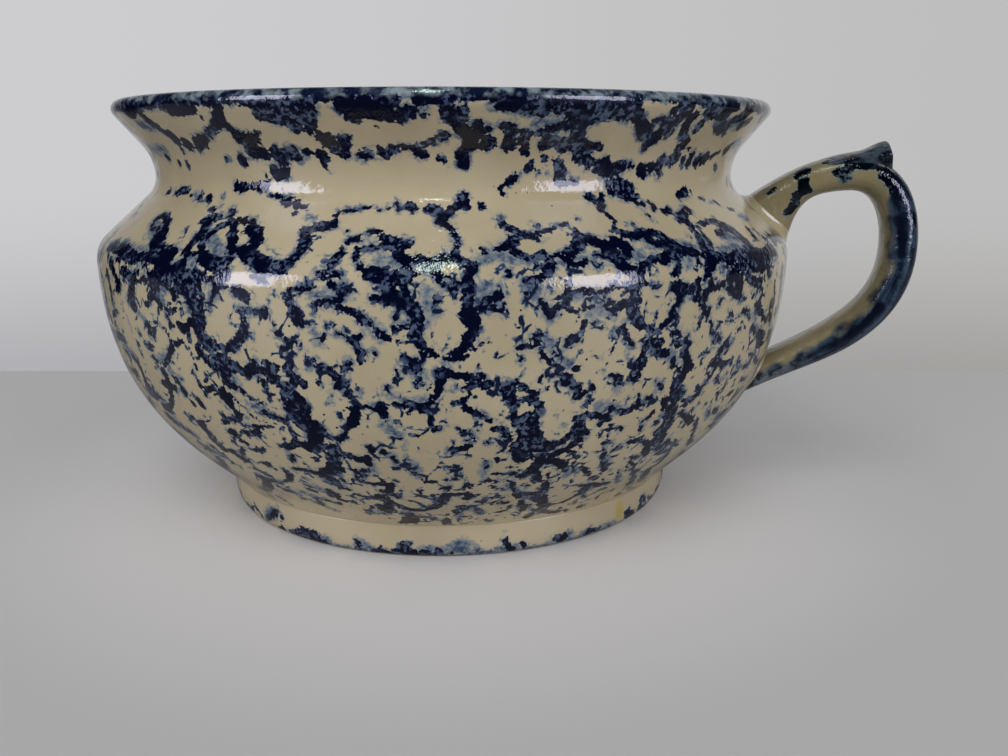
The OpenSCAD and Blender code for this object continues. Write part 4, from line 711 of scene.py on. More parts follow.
flare_rope = [
    (1.2, [(-46, 161.8), (-42, 161.6), (-38, 161.6)]),
    (1.4, [(-39.6, 159), (-38, 156), (-36.4, 153), (-35.4, 150)]), (1.6, [(-35, 152.6), (-34.6, 151)]),
    (0.8, [(-35.4, 149), (-35.6, 147)]), (1.6, [(-32.6, 149.8), (-32.6, 148.8)]),
    (1.8, [(-29.6, 149.4), (-28.4, 150.4), (-27, 152.2)]), (0.9, [(-30.2, 148.6), (-30.4, 147.6)]),
    (1.0, [(-27.8, 148.8)]), (1.2, [(-25.6, 153.6), (-23.6, 155), (-22, 156)]), (0.9, [(-25.4, 152.8)]),
    (1.5, [(-22, 156.6), (-20.6, 159.4), (-20, 161.6)]), (0.6, [(-24.6, 158.2)]), (1.0, [(-25.4, 160.4)]),
    (2.0, [(-30.4, 161.8), (-27.8, 161.4), (-25.4, 161.8)]), (1.2, [(-20.8, 156), (-20.4, 153)]),
    (2.2, [(-19.8, 151.6), (-18.6, 149.4), (-19, 147.6)]), (1.2, [(-18.2, 151.8), (-16.6, 151.6)]),
    (0.8, [(-15.6, 153.2)]), (1.6, [(-18, 147.4), (-16.4, 147)]), (2.0, [(-14.4, 147.2), (-13.6, 145.4)]),
    (1.4, [(-12.4, 146.8), (-10.8, 146)]), (1.0, [(-10.8, 147.6)]), (1.2, [(-9, 147.6)]),
    (1.8, [(-7, 147), (-6.6, 146)]), (1.0, [(-24.6, 144.6)]), (1.6, [(-21.6, 144.8), (-21.4, 143.6)]),
    (1.5, [(-15.6, 142.4), (-15, 141)]), (1.2, [(-13.8, 142), (-13.6, 141)]),
    (0.9, [(-6.8, 143.4), (-6.6, 142.6)]), (0.9, [(-43.6, 146), (-42.8, 145)]), (0.9, [(-38.8, 143.4)]),
    (1.0, [(-36, 143.6), (-35.8, 142.8)]), (2.6, [(-13.6, 160), (-11.8, 158.4), (-10.6, 159)]),
    (2.2, [(-10.4, 157), (-9.4, 155.4)]), (2.4, [(-8, 160.4), (-6.6, 159.4)]),
    (1.8, [(-7.6, 157.6), (-7, 156)]), (0.9, [(-7.4, 154.6), (-7.8, 153.6)]),
    (1.2, [(-6.4, 153.4), (-6, 151.6), (-5.4, 149.6)]),
    (1.6, [(-4.8, 151.4), (-4.2, 149.6), (-4.4, 148.4)]), (1.4, [(-2.6, 151.6), (-2.8, 149.6), (-3, 147)]),
    (0.6, [(-6.8, 151.4)]), (0.7, [(-1.7, 152.6)]), (2.4, [(-1.4, 160.6), (0.4, 159.6)]),
    (1.2, [(-1, 157.6), (0.2, 156.6)]), (3.0, [(2, 160.4), (3.6, 160)]), (2.0, [(6, 159.4), (7.4, 159.8)]),
    (1.2, [(4.4, 157.6)]), (1.2, [(5.8, 157.4)]), (0.8, [(9.2, 158.8)]), (0.6, [(2.7, 154.8)]),
    (1.4, [(-0.8, 146.6), (0.6, 146.4)]), (0.8, [(-0.4, 148.2)]), (1.4, [(2.4, 147.2), (3.2, 146.4)]),
    (1.0, [(4.2, 148), (4.6, 147)]), (0.9, [(5.6, 148.4)]), (1.1, [(7, 148.4), (7.8, 147), (8.2, 146)]),
    (1.1, [(8.8, 149.8), (9.8, 150.4)]), (1.4, [(11, 151.6), (11.4, 152.4)]), (1.0, [(10.9, 144.6)]),
    (1.6, [(11.8, 162), (12, 159.6), (12.2, 157.6)]), (1.8, [(13, 157), (13.8, 154.4), (15.4, 152)]),
    (1.2, [(16.2, 156), (16.4, 153.6)]), (2.0, [(15.6, 151.6), (15.4, 149.6)]),
    (1.0, [(14.6, 148.2), (14, 146.6)]), (1.4, [(13.9, 145.2), (14, 144)]),
    (1.0, [(14, 160), (13.2, 158.4), (14.2, 157.6)]), (1.8, [(17.8, 150.6), (17.6, 149.4)]),
    (1.0, [(19.8, 155.4), (21, 154)]), (0.6, [(17.6, 154.8)]), (1.6, [(20.6, 150.6), (20.6, 148.8)]),
    (1.6, [(23, 152.6), (22.8, 150.6)]), (1.2, [(23.2, 148.4), (23.4, 146.8)]),
    (1.2, [(24.8, 153), (26.2, 153.8)]), (1.5, [(27.4, 154.6), (29, 156), (30, 157)]),
    (2.2, [(26.4, 150.4), (26.4, 148.6)]), (2.2, [(28.6, 149), (29.4, 147.6)]),
    (2.4, [(19.4, 162), (22, 161.4), (24.6, 161)]), (2.2, [(27, 160.4), (29, 160)]),
    (3.2, [(31, 160.6), (33, 160.4)]), (2.8, [(35.4, 161), (37.4, 160.2)]),
    (1.8, [(30.8, 158), (30.8, 154), (31.2, 151)]), (2.6, [(31.4, 149), (32.6, 147), (32.6, 145.4)]),
    (0.9, [(33.6, 148), (34.4, 148.6), (35, 147.6)]), (1.8, [(33.6, 144), (34.2, 143)]),
    (0.9, [(37, 144.8), (36.8, 143.6)]), (2.2, [(36, 141.8), (37.6, 141)]),
    (1.8, [(39, 141.6), (40, 142.4)]), (1.2, [(41.4, 142.6), (42.4, 142)]),
    (1.8, [(44, 141.6), (44.6, 141)]), (1.2, [(46, 143), (47.4, 143.4)]),
    (1.4, [(48.4, 144.8), (48.2, 143)]), (0.8, [(48.6, 141.6), (48.8, 140.4)]), (1.0, [(48.2, 145.8)]),
    (2.2, [(39, 158), (40.4, 155), (41.4, 153)]), (2.0, [(42, 151.4), (43.4, 150.4), (44.6, 151.6)]),
    (1.0, [(43.2, 148.8), (43.4, 147.6)]), (1.4, [(42.6, 156.6), (44, 158), (45.4, 157.4)]),
    (1.8, [(46.6, 157), (47.4, 159.6), (48, 161)]), (1.6, [(44.6, 154.8), (46, 155), (46.8, 153.6)]),
    (1.0, [(44.8, 160.6), (46, 161.6)]), (1.4, [(49.8, 159.6), (49.4, 157), (50, 154), (50.8, 151.8)]),
    (1.6, [(51.4, 151.4), (52.4, 149.6)]), (1.6, [(51, 148.4), (51.4, 146), (50.4, 144.6)]),
    (0.7, [(53.2, 148.8), (54.2, 148.6)]), (1.4, [(53.4, 145), (53.6, 143.4)]),
    (1.6, [(56, 146), (55.6, 143.8)]), (1.2, [(57.8, 143.8), (59.4, 144.8)]),
    (1.4, [(60.6, 144.4), (62, 145)]), (1.0, [(64, 145.4), (66, 146.4)]),
    (1.4, [(68.6, 147.6), (69.4, 148.4)]), (0.9, [(58.6, 142.6)]), (1.1, [(66.4, 141.8), (66.8, 140.8)]),
    (2.2, [(52.4, 161.6), (55, 161.4), (58, 160.4)]), (2.4, [(57.6, 157.8), (59, 156), (61, 155)]),
    (1.6, [(61.4, 158.6), (63, 160.4), (65, 160.6)]), (1.8, [(66, 157), (68, 158)]),
    (1.4, [(52.6, 157.6), (52.4, 154.8)]), (1.0, [(62, 153.4)]), (0.9, [(19.6, 137), (20.4, 137.6)]),
    (1.2, [(21.4, 139), (22, 139.6)]), (1.3, [(23.8, 141.4), (24.2, 142)]),
    (0.6, [(25.4, 140.2), (26, 140.4)]), (0.6, [(26.8, 140.8)]), (1.2, [(26.2, 144), (26.4, 143.4)]),
    (0.6, [(24.6, 144)]), (2.0, [(29, 142.6), (29.2, 141)]), (1.4, [(28.8, 139.4), (29.6, 139)]),
    (0.8, [(30.6, 138.8), (31.6, 138.4)]), (1.8, [(-50, 164), (-44, 163.6), (-36, 163.8), (-28, 164)]),
    (2.0, [(-28, 164), (-20, 164), (-12, 164.2)]), (1.6, [(-12, 163), (-8, 162.8)]),
    (2.0, [(-6, 164), (0, 164.4)]), (1.4, [(3, 163), (5.4, 163.2)]),
    (1.8, [(8.6, 164.4), (14, 164.6), (20, 163.6)]), (2.2, [(20, 164), (30, 164.2), (38, 163.4)]),
    (1.6, [(40, 165), (46, 164.6), (52, 164.4), (60, 163.8)]), (2.0, [(64, 163.4), (70, 163.8)]),
]
flare_wash = [
    (2.6, [(-44, 158), (-40, 156)]), (2.4, [(-13, 161), (-6, 160)]), (2.6, [(0, 161), (9, 161)]),
    (2.6, [(18, 162), (30, 160)]), (2.2, [(44, 157), (47, 155)]), (2.6, [(60, 158), (68, 157)]),
    (2.0, [(24, 156), (28, 156)]), (2.2, [(-50, 150), (-42, 148)]),
    (3.0, [(-50, 166), (-20, 166), (10, 166), (40, 166), (70, 166)]),
]
third = 120
ragged = 0.16


# The dark ropes of the print and its pale washes, each laid on three times round
def sponge_on(rope_strokes, wash_strokes, arcs, radii):
    size = (len(arcs), columns)
    sway = (loose * cloud(size, 4), loose * cloud(size, 4))
    fields = []
    for strokes in (rope_strokes, wash_strokes):
        field = np.full(size, far_off)
        for half, line in strokes:
            for turn_by in (0, third, 2 * third):
                press(field, half, [(a + turn_by, s) for a, s in line], arcs, radii, sway)
        fields.append(field + ragged * cloud(size, 1.5) + ragged * cloud(size, 3))
    return fields


rope, wash = sponge_on(belly_rope + shoulder_rope + flare_rope, belly_wash + shoulder_wash + flare_wash,
                       print_arc, print_r)
# Bare at the crease, with thinner ropes on the belly, fuller ones on the flare and more wash on the shoulder
bare_from = 13.5
bare_slope = 2
bare = np.clip((bare_from - print_arc) * bare_slope, 0, far_off)[:, None]
fuller = np.interp(print_arc, [98, 106, 124, 134, 140, 152], [-0.2, -0.1, -0.1, -0.02, 0.05, 0.3])[:, None]
wash_spread = np.interp(print_arc, [92, 104, 120, 128], [0, 0.7, 0.7, 0])[:, None]
rope += bare - fuller
wash += bare - wash_spread


# A field of the outside, filled out to all points of the body
def over_body(field):
    before = 1 + columns // 2 * (len(under) - 1)
    after = len(body_points) - before - field.size
    return np.concatenate([np.full(before, far_off), field.ravel(), np.full(after, far_off)])


mark(pot_body, "rope", over_body(rope))
mark(pot_body, "wash", over_body(wash))


def paint(hexes):
    parts = [int(hexes[i:i + 2], 16) / 255 for i in (0, 2, 4)]
    return tuple(c / 12.92 if c <= 0.04045 else ((c + 0.055) / 1.055) ** 2.4 for c in parts) + (1.0,)


# A shader node with its settings and sockets, where n0 stands for the socket numbered 0
def add(tree, kind, settings=None, **sockets):
    made = tree.nodes.new("ShaderNode" + kind)
    for key, value in (settings or {}).items():
        setattr(made, key, value)
    for key, value in sockets.items():
        socket = made.inputs[int(key[1:])] if key[0] == "n" and key[1:].isdigit() else made.inputs[key]
        if isinstance(value, bpy.types.NodeSocket):
            tree.links.new(value, socket)
        else:
            socket.default_value = value
    return made


def sums(tree, operation, first, second):
    return add(tree, "Math", {"operation": operation}, n0=first, n1=second).outputs[0]


def place(tree):
    return add(tree, "TexCoord").outputs["Object"]


def height_up(tree):
    return add(tree, "SeparateXYZ", Vector=place(tree)).outputs[2]


def grain(tree, scale, detail=2.0, rough=0.5):
    noise = add(tree, "TexNoise", Vector=place(tree), Scale=scale, Detail=detail, Roughness=rough)
    return noise.outputs["Fac"]


def ramp(tree, value, start, end, low=0.0, high=1.0):
    made = add(tree, "MapRange", {"interpolation_type": "SMOOTHSTEP"}, Value=value)
    for key, number in (("From Min", start), ("From Max", end), ("To Min", low), ("To Max", high)):
        made.inputs[key].default_value = number
    return made.outputs["Result"]


def blend(tree, amount, under_colour, over_colour):
    made = add(tree, "Mix", {"data_type": "RGBA"}, n0=amount, n6=under_colour, n7=over_colour)
    return made.outputs[2]


def attribute(tree, name):
    return add(tree, "Attribute", {"attribute_name": name}).outputs["Fac"]


# A clear glaze that reflects sharply, with a fine ripple
def glaze(name, ripple_depth=0.00016):
    finish = bpy.data.materials.new(name)
    finish.use_nodes = True
    tree = finish.node_tree
    tree.nodes.clear()
    shader = add(tree, "BsdfPrincipled", Roughness=0.06, IOR=1.5)
    out = add(tree, "OutputMaterial")
    tree.links.new(shader.outputs[0], out.inputs["Surface"])
    ripple = sums(tree, "ADD", grain(tree, 260, 1.0), sums(tree, "MULTIPLY", grain(tree, 1400, 1.0), 0.34))
    bump = add(tree, "Bump", Height=ripple, Strength=1.0, Distance=ripple_depth)
    tree.links.new(bump.outputs[0], shader.inputs["Normal"])
    return finish, tree, shader


def dots(tree, scale, rarity):
    cells = add(tree, "TexVoronoi", Vector=place(tree), Scale=scale, Randomness=1.0)
    chance = add(tree, "SeparateColor", Color=cells.outputs["Color"]).outputs[0]
    dot = ramp(tree, cells.outputs["Distance"], 0.14, 0.08)
    return sums(tree, "MULTIPLY", dot, ramp(tree, chance, rarity, rarity + 0.03))


# Clay that is cloudy and has a few dark specks
def clay(tree, light, dark):
    base = blend(tree, ramp(tree, grain(tree, 22, 3.0), 0.35, 0.7), light, dark)
    return blend(tree, sums(tree, "MULTIPLY", dots(tree, 310, 0.9), 0.6), base, paint("3b332a"))


def wobble(tree, scale, amount):
    return sums(tree, "MULTIPLY", sums(tree, "SUBTRACT", grain(tree, scale, 2.0), 0.5), amount)


# Thin broken threads along the edges of warped cells
def webs(tree):
    at = place(tree)
    push = add(tree, "TexNoise", Vector=at, Scale=110, Detail=1.0).outputs["Color"]
    push = add(tree, "VectorMath", {"operation": "SCALE"}, n0=push, Scale=0.007).outputs[0]
    pushed = add(tree, "VectorMath", {"operation": "ADD"}, n0=at, n1=push).outputs[0]
    edges = {"feature": "DISTANCE_TO_EDGE"}
    cells = add(tree, "TexVoronoi", edges, Vector=pushed, Scale=150, Randomness=1.0)
    line = ramp(tree, sums(tree, "ADD", cells.outputs["Distance"], wobble(tree, 480, 0.24)), 0.1, 0.05)
    return sums(tree, "MULTIPLY", line, ramp(tree, grain(tree, 260), 0.48, 0.6, 0.0, 0.85))


# The print over its base: dark cores, mottled skirts, streaky washes and, where linked, threads and specks
def printed(tree, base, inks, linked=None):
    pale, middle, deep = (paint(ink) for ink in inks)
    fine = sums(tree, "ADD", wobble(tree, 420, 1.5), wobble(tree, 900, 2.4))
    edge = sums(tree, "ADD", attribute(tree, "rope"), fine)
    soak = sums(tree, "ADD", attribute(tree, "wash"), sums(tree, "MULTIPLY", fine, 1.6))
    thin_places = ramp(tree, grain(tree, 130), 0.38, 0.58, 0.0, 0.42)
    pores = sums(tree, "MULTIPLY", ramp(tree, grain(tree, 620, 3.0, 0.6), 0.45, 0.58), thin_places)
    core = sums(tree, "MULTIPLY", ramp(tree, edge, 0.24, -0.2), sums(tree, "SUBTRACT", 1.0, pores))
    mottle = ramp(tree, grain(tree, 640, 3.0, 0.65), 0.36, 0.6, 0.12, 0.6)
    patchy = sums(tree, "MULTIPLY", ramp(tree, grain(tree, 150), 0.42, 0.6), mottle)
    skirt = sums(tree, "MULTIPLY", ramp(tree, edge, 1.7, 0.0), patchy)
    streaky = ramp(tree, grain(tree, 420, 3.0, 0.6), 0.32, 0.65, 0.22, 0.68)
    stain = sums(tree, "MULTIPLY", ramp(tree, soak, 0.9, -1.6), streaky)
    load = sums(tree, "MAXIMUM", core, sums(tree, "MAXIMUM", skirt, stain))
    if linked:
        links = sums(tree, "MULTIPLY", webs(tree), ramp(tree, edge, 3.4, 1.6))
        specks = sums(tree, "MULTIPLY", dots(tree, 300, 0.74), ramp(tree, edge, 5.0, 3.0))
        small = sums(tree, "MULTIPLY", sums(tree, "MAXIMUM", links, specks), linked)
        load = sums(tree, "MAXIMUM", load, small)
    colour = blend(tree, ramp(tree, load, 0.0, 0.4), base, pale)
    colour = blend(tree, ramp(tree, load, 0.3, 0.72), colour, middle)
    return blend(tree, ramp(tree, load, 0.55, 0.95), colour, deep)


cream_light = paint("b3a78c")
cream_dark = paint("a79b80")
cobalt = ("767f84", "3a4966", "04081f")
lip_low = 137.8 * mm
lip_high = 139.2 * mm
threads_end = 106 * mm
threads_full = 94 * mm
body_glaze, tree, shader = glaze("sponge_printed_glaze")
height = height_up(tree)
on_lip = ramp(tree, sums(tree, "ADD", height, wobble(tree, 420, 0.003)), lip_low, lip_high, 0.0, 0.85)
lip_wash = blend(tree, ramp(tree, grain(tree, 240, 3.0, 0.6), 0.42, 0.64), paint("0c1930"), paint("808d95"))
linked = ramp(tree, height, threads_end, threads_full)
sponged = printed(tree, clay(tree, cream_light, cream_dark), cobalt, linked)
body_colour = blend(tree, on_lip, sponged, lip_wash)
tree.links.new(body_colour, shader.inputs["Base Color"])
pot_body.data.materials.append(body_glaze)
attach(pot_body, "root")
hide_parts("pot_body")

# Foot ring
# The ring that the pot stands on, thrown with a swelling side and pressed to the underside of the bowl.
# It is glazed cream, splashed blue along its lower edge, and wiped bare where it meets the kiln shelf.
stand_r = 79.0
stand_w = 7.0
foot_swell = 0.8
foot_corner_r = 2.5
foot_ledge = 3.0
foot_in_r = stand_r - stand_w - foot_corner_r
foot_side = bend([[stand_r, 0], [crease_r, 0], [crease_r + foot_swell, crease_z / 2], [crease_r, crease_z]],
                 np.linspace(0, 1, 40))
foot_line = np.concatenate([
    [[seat_r, hollow_h], [foot_in_r + foot_ledge, hollow_h], [foot_in_r, hollow_h]],
    turn([foot_in_r + foot_corner_r, foot_corner_r], foot_corner_r, 180, 270, 10),
    [[stand_r - stand_w / 2, 0]],
    foot_side,
])
foot_rings = [(r, z, columns) for r, z in foot_line]
foot_points, foot_faces = spin(foot_rings + foot_rings[:1])
foot_count = len(foot_line) * columns
foot_faces = [tuple(i % foot_count for i in f) for f in foot_faces]
foot_ring = shape("foot_ring_glazed", foot_points[:foot_count], foot_faces)
foot_rope = [
    (0.7, [(-46.3, 4.6), (-45, 5.4)]), (0.9, [(-38.5, 4.5), (-36, 7), (-33, 9.5)]),
    (1.2, [(-33.4, 3), (-32, 4)]), (0.7, [(-31.2, 8)]), (0.7, [(-29, 3)]),
    (1.9, [(-26.6, 3), (-23.7, 5), (-20.8, 4.4)]), (0.9, [(-24.4, 6.4)]),
    (1.3, [(-23.7, 2.5), (-20.8, 2.5)]), (0.7, [(-20.8, 6)]), (0.9, [(-18, 3.4)]),
    (0.9, [(-9.8, 5.5), (-9.9, 3)]), (1.0, [(-6, 2.5), (-4.1, 4), (-2.7, 2.5)]),
    (1.2, [(-1.2, 3), (0.7, 5), (2.2, 6.5)]), (1.1, [(0.7, 3), (3.7, 3.5), (6, 3)]),
    (0.7, [(8, 2.5), (8.8, 4.5)]), (0.5, [(11.7, 3.5)]), (0.9, [(23.8, 8), (24.3, 6), (24.8, 3)]),
    (0.8, [(27, 6), (27.9, 4)]),
    (1.0, [(36, 5.5), (37, 4), (37.9, 5)]), (1.0, [(44.8, 3), (46.2, 5), (47.7, 3)]),
    (0.8, [(58, 6.5), (58.4, 4.5), (59.9, 4), (61.4, 3.5)]), (0.6, [(59, 2.5), (61.3, 3)]),
    (0.3, [(55, 5.8)]),
    (0.6, [(64.3, 8), (65.2, 9), (66.7, 6.5), (68.2, 6)]), (0.9, [(64.5, 4), (65.3, 6), (66.2, 4)]),
    (0.6, [(67.2, 4), (70.2, 3)]), (0.5, [(69.7, 6.5), (73, 5.5)]), (0.4, [(76, 7), (79, 5)]),
    (0.5, [(79, 4), (80.4, 3)]),
]
foot_wash = [
    (0.9, [(-38, 6), (-35, 8.5)]), (1.0, [(-19.8, 4.5), (-17.8, 4.5)]), (1.4, [(-9, 5), (-7, 3)]),
    (1.5, [(6, 4), (8.5, 4)]), (1.6, [(12, 4), (14.4, 6), (15.8, 4)]), (1.3, [(23.3, 4), (24.8, 3.5)]),
    (1.3, [(35.5, 3.5), (38.4, 3.5)]), (0.8, [(39.4, 5.5), (39.9, 3)]), (0.9, [(44.3, 4), (45.2, 4.5)]),
    (1.2, [(49.2, 3), (53, 2.5)]), (0.9, [(-28, 1.5), (-8, 1.5), (8, 1.5), (34, 1.5), (56, 1)]),
]
foot_rope_spread = 0.4
foot_wash_spread = 1.9
smudge_half = 2.2
smudge_line = [(54.8, 9.6), (55.2, 6)]
foot_arc = lengths(foot_side)
foot_ropes, foot_washes = sponge_on(foot_rope, foot_wash, foot_arc, foot_side[:, 0])
smudge = np.full(foot_ropes.shape, far_off)
press(smudge, smudge_half, smudge_line, foot_arc, foot_side[:, 0], np.zeros((2,) + smudge.shape))
hidden = np.full(foot_count - smudge.size, far_off)
for name, field in (("rope", foot_ropes - foot_rope_spread), ("wash", foot_washes - foot_wash_spread),
                    ("smudge", smudge)):
    mark(foot_ring, name, np.concatenate([hidden, field.ravel()]))
wiped_low = 0.3 * mm
wiped_high = 0.9 * mm
foot_glaze, tree, shader = glaze("foot_glaze")
foot_base = clay(tree, paint("b6a98f"), paint("aa9d83"))
ochre = ramp(tree, sums(tree, "ADD", attribute(tree, "smudge"), wobble(tree, 420, 2.4)), 0.8, -1.2, 0.0, 0.7)
foot_base = blend(tree, ochre, foot_base, paint("a5923f"))
bottom = height_up(tree)
wiped = ramp(tree, bottom, wiped_high, wiped_low)
foot_colour = blend(tree, wiped, printed(tree, foot_base, cobalt), paint("9c8f78"))
tree.links.new(foot_colour, shader.inputs["Base Color"])
tree.links.new(ramp(tree, bottom, wiped_high, wiped_low, 0.07, 0.75), shader.inputs["Roughness"])
foot_ring.data.materials.append(foot_glaze)
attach(foot_ring, "root")
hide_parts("foot_ring")

# Handle
# The loop handle, pressed in a mould, bent while soft and cut to the curve of the wall at both ends.
# Its inner side stayed cream; the blue was dabbed and brushed along its sides and down its outer face.
handle_w = 19.2
handle_mid_t = 12.0
handle_end_t = 9.8
handle_top_z = 105.0
handle_crown_z = 117.5
handle_far_z = 92.4
handle_low_z = 45.0
handle_reach = 32.4
crown_back = 17.5
handle_top_angle = 34.0
handle_low_angle = 27.0
handle_top_pull = 8.0
crown_pull = 14.0
bend_pull = 0.62
far_pull = 28.0
handle_low_pull = 26.0
top_swell = 12.0
end_widen = 1.8
end_from = 0.62
top_taper = 1.5
mid_from = 0.05
mid_full = 0.5
handle_square = 2.4
handle_sides = 96
handle_top = np.array([wall_radius(handle_top_z), handle_top_z])
handle_low = np.array([wall_radius(handle_low_z), handle_low_z])
handle_far = np.array([belly_r + handle_reach + handle_mid_t / 2, handle_far_z])
handle_crown = np.array([handle_far[0] - crown_back, handle_crown_z])
rise_curve = [handle_top, handle_top + handle_top_pull * heading(handle_top_angle),
              handle_crown - [crown_pull, 0], handle_crown]
bend_curve = [handle_crown, handle_crown + [bend_pull * crown_back, 0],
              handle_far + [0, bend_pull * (handle_crown_z - handle_far_z)], handle_far]
drop_curve = [handle_far, handle_far - [0, far_pull],
              handle_low + handle_low_pull * heading(handle_low_angle), handle_low]
# At its ends a curve runs three times its pull for each whole step
rise_speed = 3 * handle_top_pull
drop_speed = 3 * handle_low_pull


def ease(low, high, x):
    t = np.clip((np.asarray(x, float) - low) / (high - low), 0, 1)
    return t * t * (3 - 2 * t)


# A round section's coordinate, pressed out towards a square one
def swelled(x, square):
    return np.sign(x) * np.abs(x) ** (2 / square)


# Places along the handle: its middle, its direction, and how near the upper and the lower end are
def upper_station(s):
    s = np.asarray(s, float)
    t = np.clip(s / rise_speed, 0, 1)
    middle = bend(rise_curve, t) + np.minimum(s, 0)[:, None] * heading(handle_top_angle)
    return middle, bend_heading(rise_curve, t), 1 - t / 2, np.zeros_like(t)


def lower_station(s):
    s = np.asarray(s, float)
    t = np.clip(1 - s / drop_speed, 0, 1)
    middle = bend(drop_curve, t) + np.minimum(s, 0)[:, None] * heading(handle_low_angle)
    return middle, bend_heading(drop_curve, t), np.zeros_like(t), t


def bend_station(t):
    return bend(bend_curve, t), bend_heading(bend_curve, t), (1 - t) / 2, np.zeros_like(t)


def handle_point(station, a, grow):
    middle, direction, upper_near, lower_near = station
    upper = ease(end_from, 1, upper_near) ** top_taper
    lower = ease(end_from, 1, lower_near)
    mid = ease(mid_from, mid_full, 1 - np.maximum(upper_near, lower_near))
    half_w = handle_w / 2 + end_widen * (upper + lower) + grow
    half_t = (handle_end_t + (handle_mid_t - handle_end_t) * mid) / 2 + grow
    n = swelled(np.sin(a), handle_square) * np.where(np.sin(a) > 0, half_t, half_t + top_swell * upper)
    out = np.radians(direction + 90)
    return np.stack([middle[:, 0] + n * np.cos(out), half_w * swelled(np.cos(a), handle_square),
                     middle[:, 1] + n * np.sin(out)], 1)


end_play = 14.0
halvings = 22


# Where along the handle each of its sides meets the wall, found by halving
def at_wall(station, a, grow):
    low = np.full(len(a), -end_play)
    high = np.full(len(a), end_play)
    for _ in range(halvings):
        mid = (low + high) / 2
        p = handle_point(station(mid), a, grow)
        inside_wall = np.hypot(p[:, 0], p[:, 1]) < wall_radius(p[:, 2])
        low = np.where(inside_wall, mid, low)
        high = np.where(inside_wall, high, mid)
    return (low + high) / 2


def loop_faces(rows, sides):
    faces = []
    for r in range(rows - 1):
        for i in range(sides):
            j = (i + 1) % sides
            faces.append((r * sides + i, r * sides + j, (r + 1) * sides + j, (r + 1) * sides + i))
    return faces


# Rows of points joined into a closed piece with its two ends filled
def loft(name, rows):
    sides = len(rows[0])
    points = np.concatenate(list(rows) + [rows[0].mean(0)[None], rows[-1].mean(0)[None]])
    faces = loop_faces(len(rows), sides)
    first, last = len(points) - 2, len(points) - 1
    end = (len(rows) - 1) * sides
    faces += [(first, (i + 1) % sides, i) for i in range(sides)]
    faces += [(last, end + i, end + (i + 1) % sides) for i in range(sides)]
    return shape(name, points, faces)


sides_round = np.radians(360 / handle_sides * np.arange(handle_sides))
tucked = 1.2
top_at = at_wall(upper_station, sides_round, 0)
low_at = at_wall(lower_station, sides_round, 0)
handle_rows = [handle_point(upper_station(top_at - tucked), sides_round, 0)]
handle_rows += [handle_point(upper_station(top_at + (rise_speed - top_at) * t), sides_round, 0)
                for t in np.linspace(0, 1, 60)]
handle_rows += [handle_point(bend_station(np.full(handle_sides, t)), sides_round, 0)
                for t in np.linspace(0, 1, 60)[1:]]
handle_rows += [handle_point(lower_station(drop_speed + (low_at - drop_speed) * t), sides_round, 0)
                for t in np.linspace(0, 1, 110)[1:]]
handle_rows += [handle_point(lower_station(low_at - tucked), sides_round, 0)]
handle = loft("handle_glazed", handle_rows)

# The brush went over the handle lying flat: millimetres along it from the shoulder, and millimetres round it
# from the middle of its outer face to either side.
handle_grid = np.stack(handle_rows)
steps_round = np.linalg.norm(np.roll(handle_grid, -1, 1) - handle_grid, axis=2)
girth = np.concatenate([np.zeros((len(handle_rows), 1)), np.cumsum(steps_round, 1)[:, :-1]], 1)
outer_middle = handle_sides // 4
one_way = np.abs(girth - girth[:, outer_middle:outer_middle + 1])
across = np.minimum(one_way, steps_round.sum(1)[:, None] - one_way)
along = np.broadcast_to(lengths(handle_grid.mean(1))[:, None], across.shape)
handle_dabs = [
    (1.0, [(9, 10), (10.4, 9.4)]), (1.6, [(13.6, 16.4), (15.6, 15)]),
    (2.3, [(18, 14.6), (19, 11), (19.6, 7.6)]), (2.0, [(20.6, 8), (20.8, 6.4)]),
    (1.5, [(12, 18.5), (9.5, 19.5), (7, 20)]),
    (1.9, [(30.6, 11.6), (32.6, 10.2), (35, 9.4)]), (1.8, [(34, 9.4), (38, 9.2), (43, 9.4), (48, 10)]),
    (0.8, [(31.2, 14.6), (32.8, 14)]), (1.6, [(28.6, 6.2), (36, 6), (46, 5.6)]),
    (2.0, [(44, 10.6), (51, 12)]),
    (1.4, [(137, 13), (140, 12)]), (0.9, [(24, 2), (27, 1)]), (1.2, [(60, 9), (64, 6)]),
    (1.0, [(120, 13), (126, 12)]), (1.8, [(60, 14.6), (72, 13.4)]), (1.8, [(92, 13), (105, 12.4)]),
]
dabs = np.full(across.shape, far_off)
for half, line in handle_dabs:
    for (a0, c0), (a1, c1) in zip(line[:-1], line[1:]):
        run = np.hypot(a1 - a0, c1 - c0) ** 2
        share = np.clip(((along - a0) * (a1 - a0) + (across - c0) * (c1 - c0)) / run, 0, 1)
        off_along = along - a0 - share * (a1 - a0)
        off_across = across - c0 - share * (c1 - c0)
        dabs = np.minimum(dabs, np.hypot(off_along, off_across) - half)
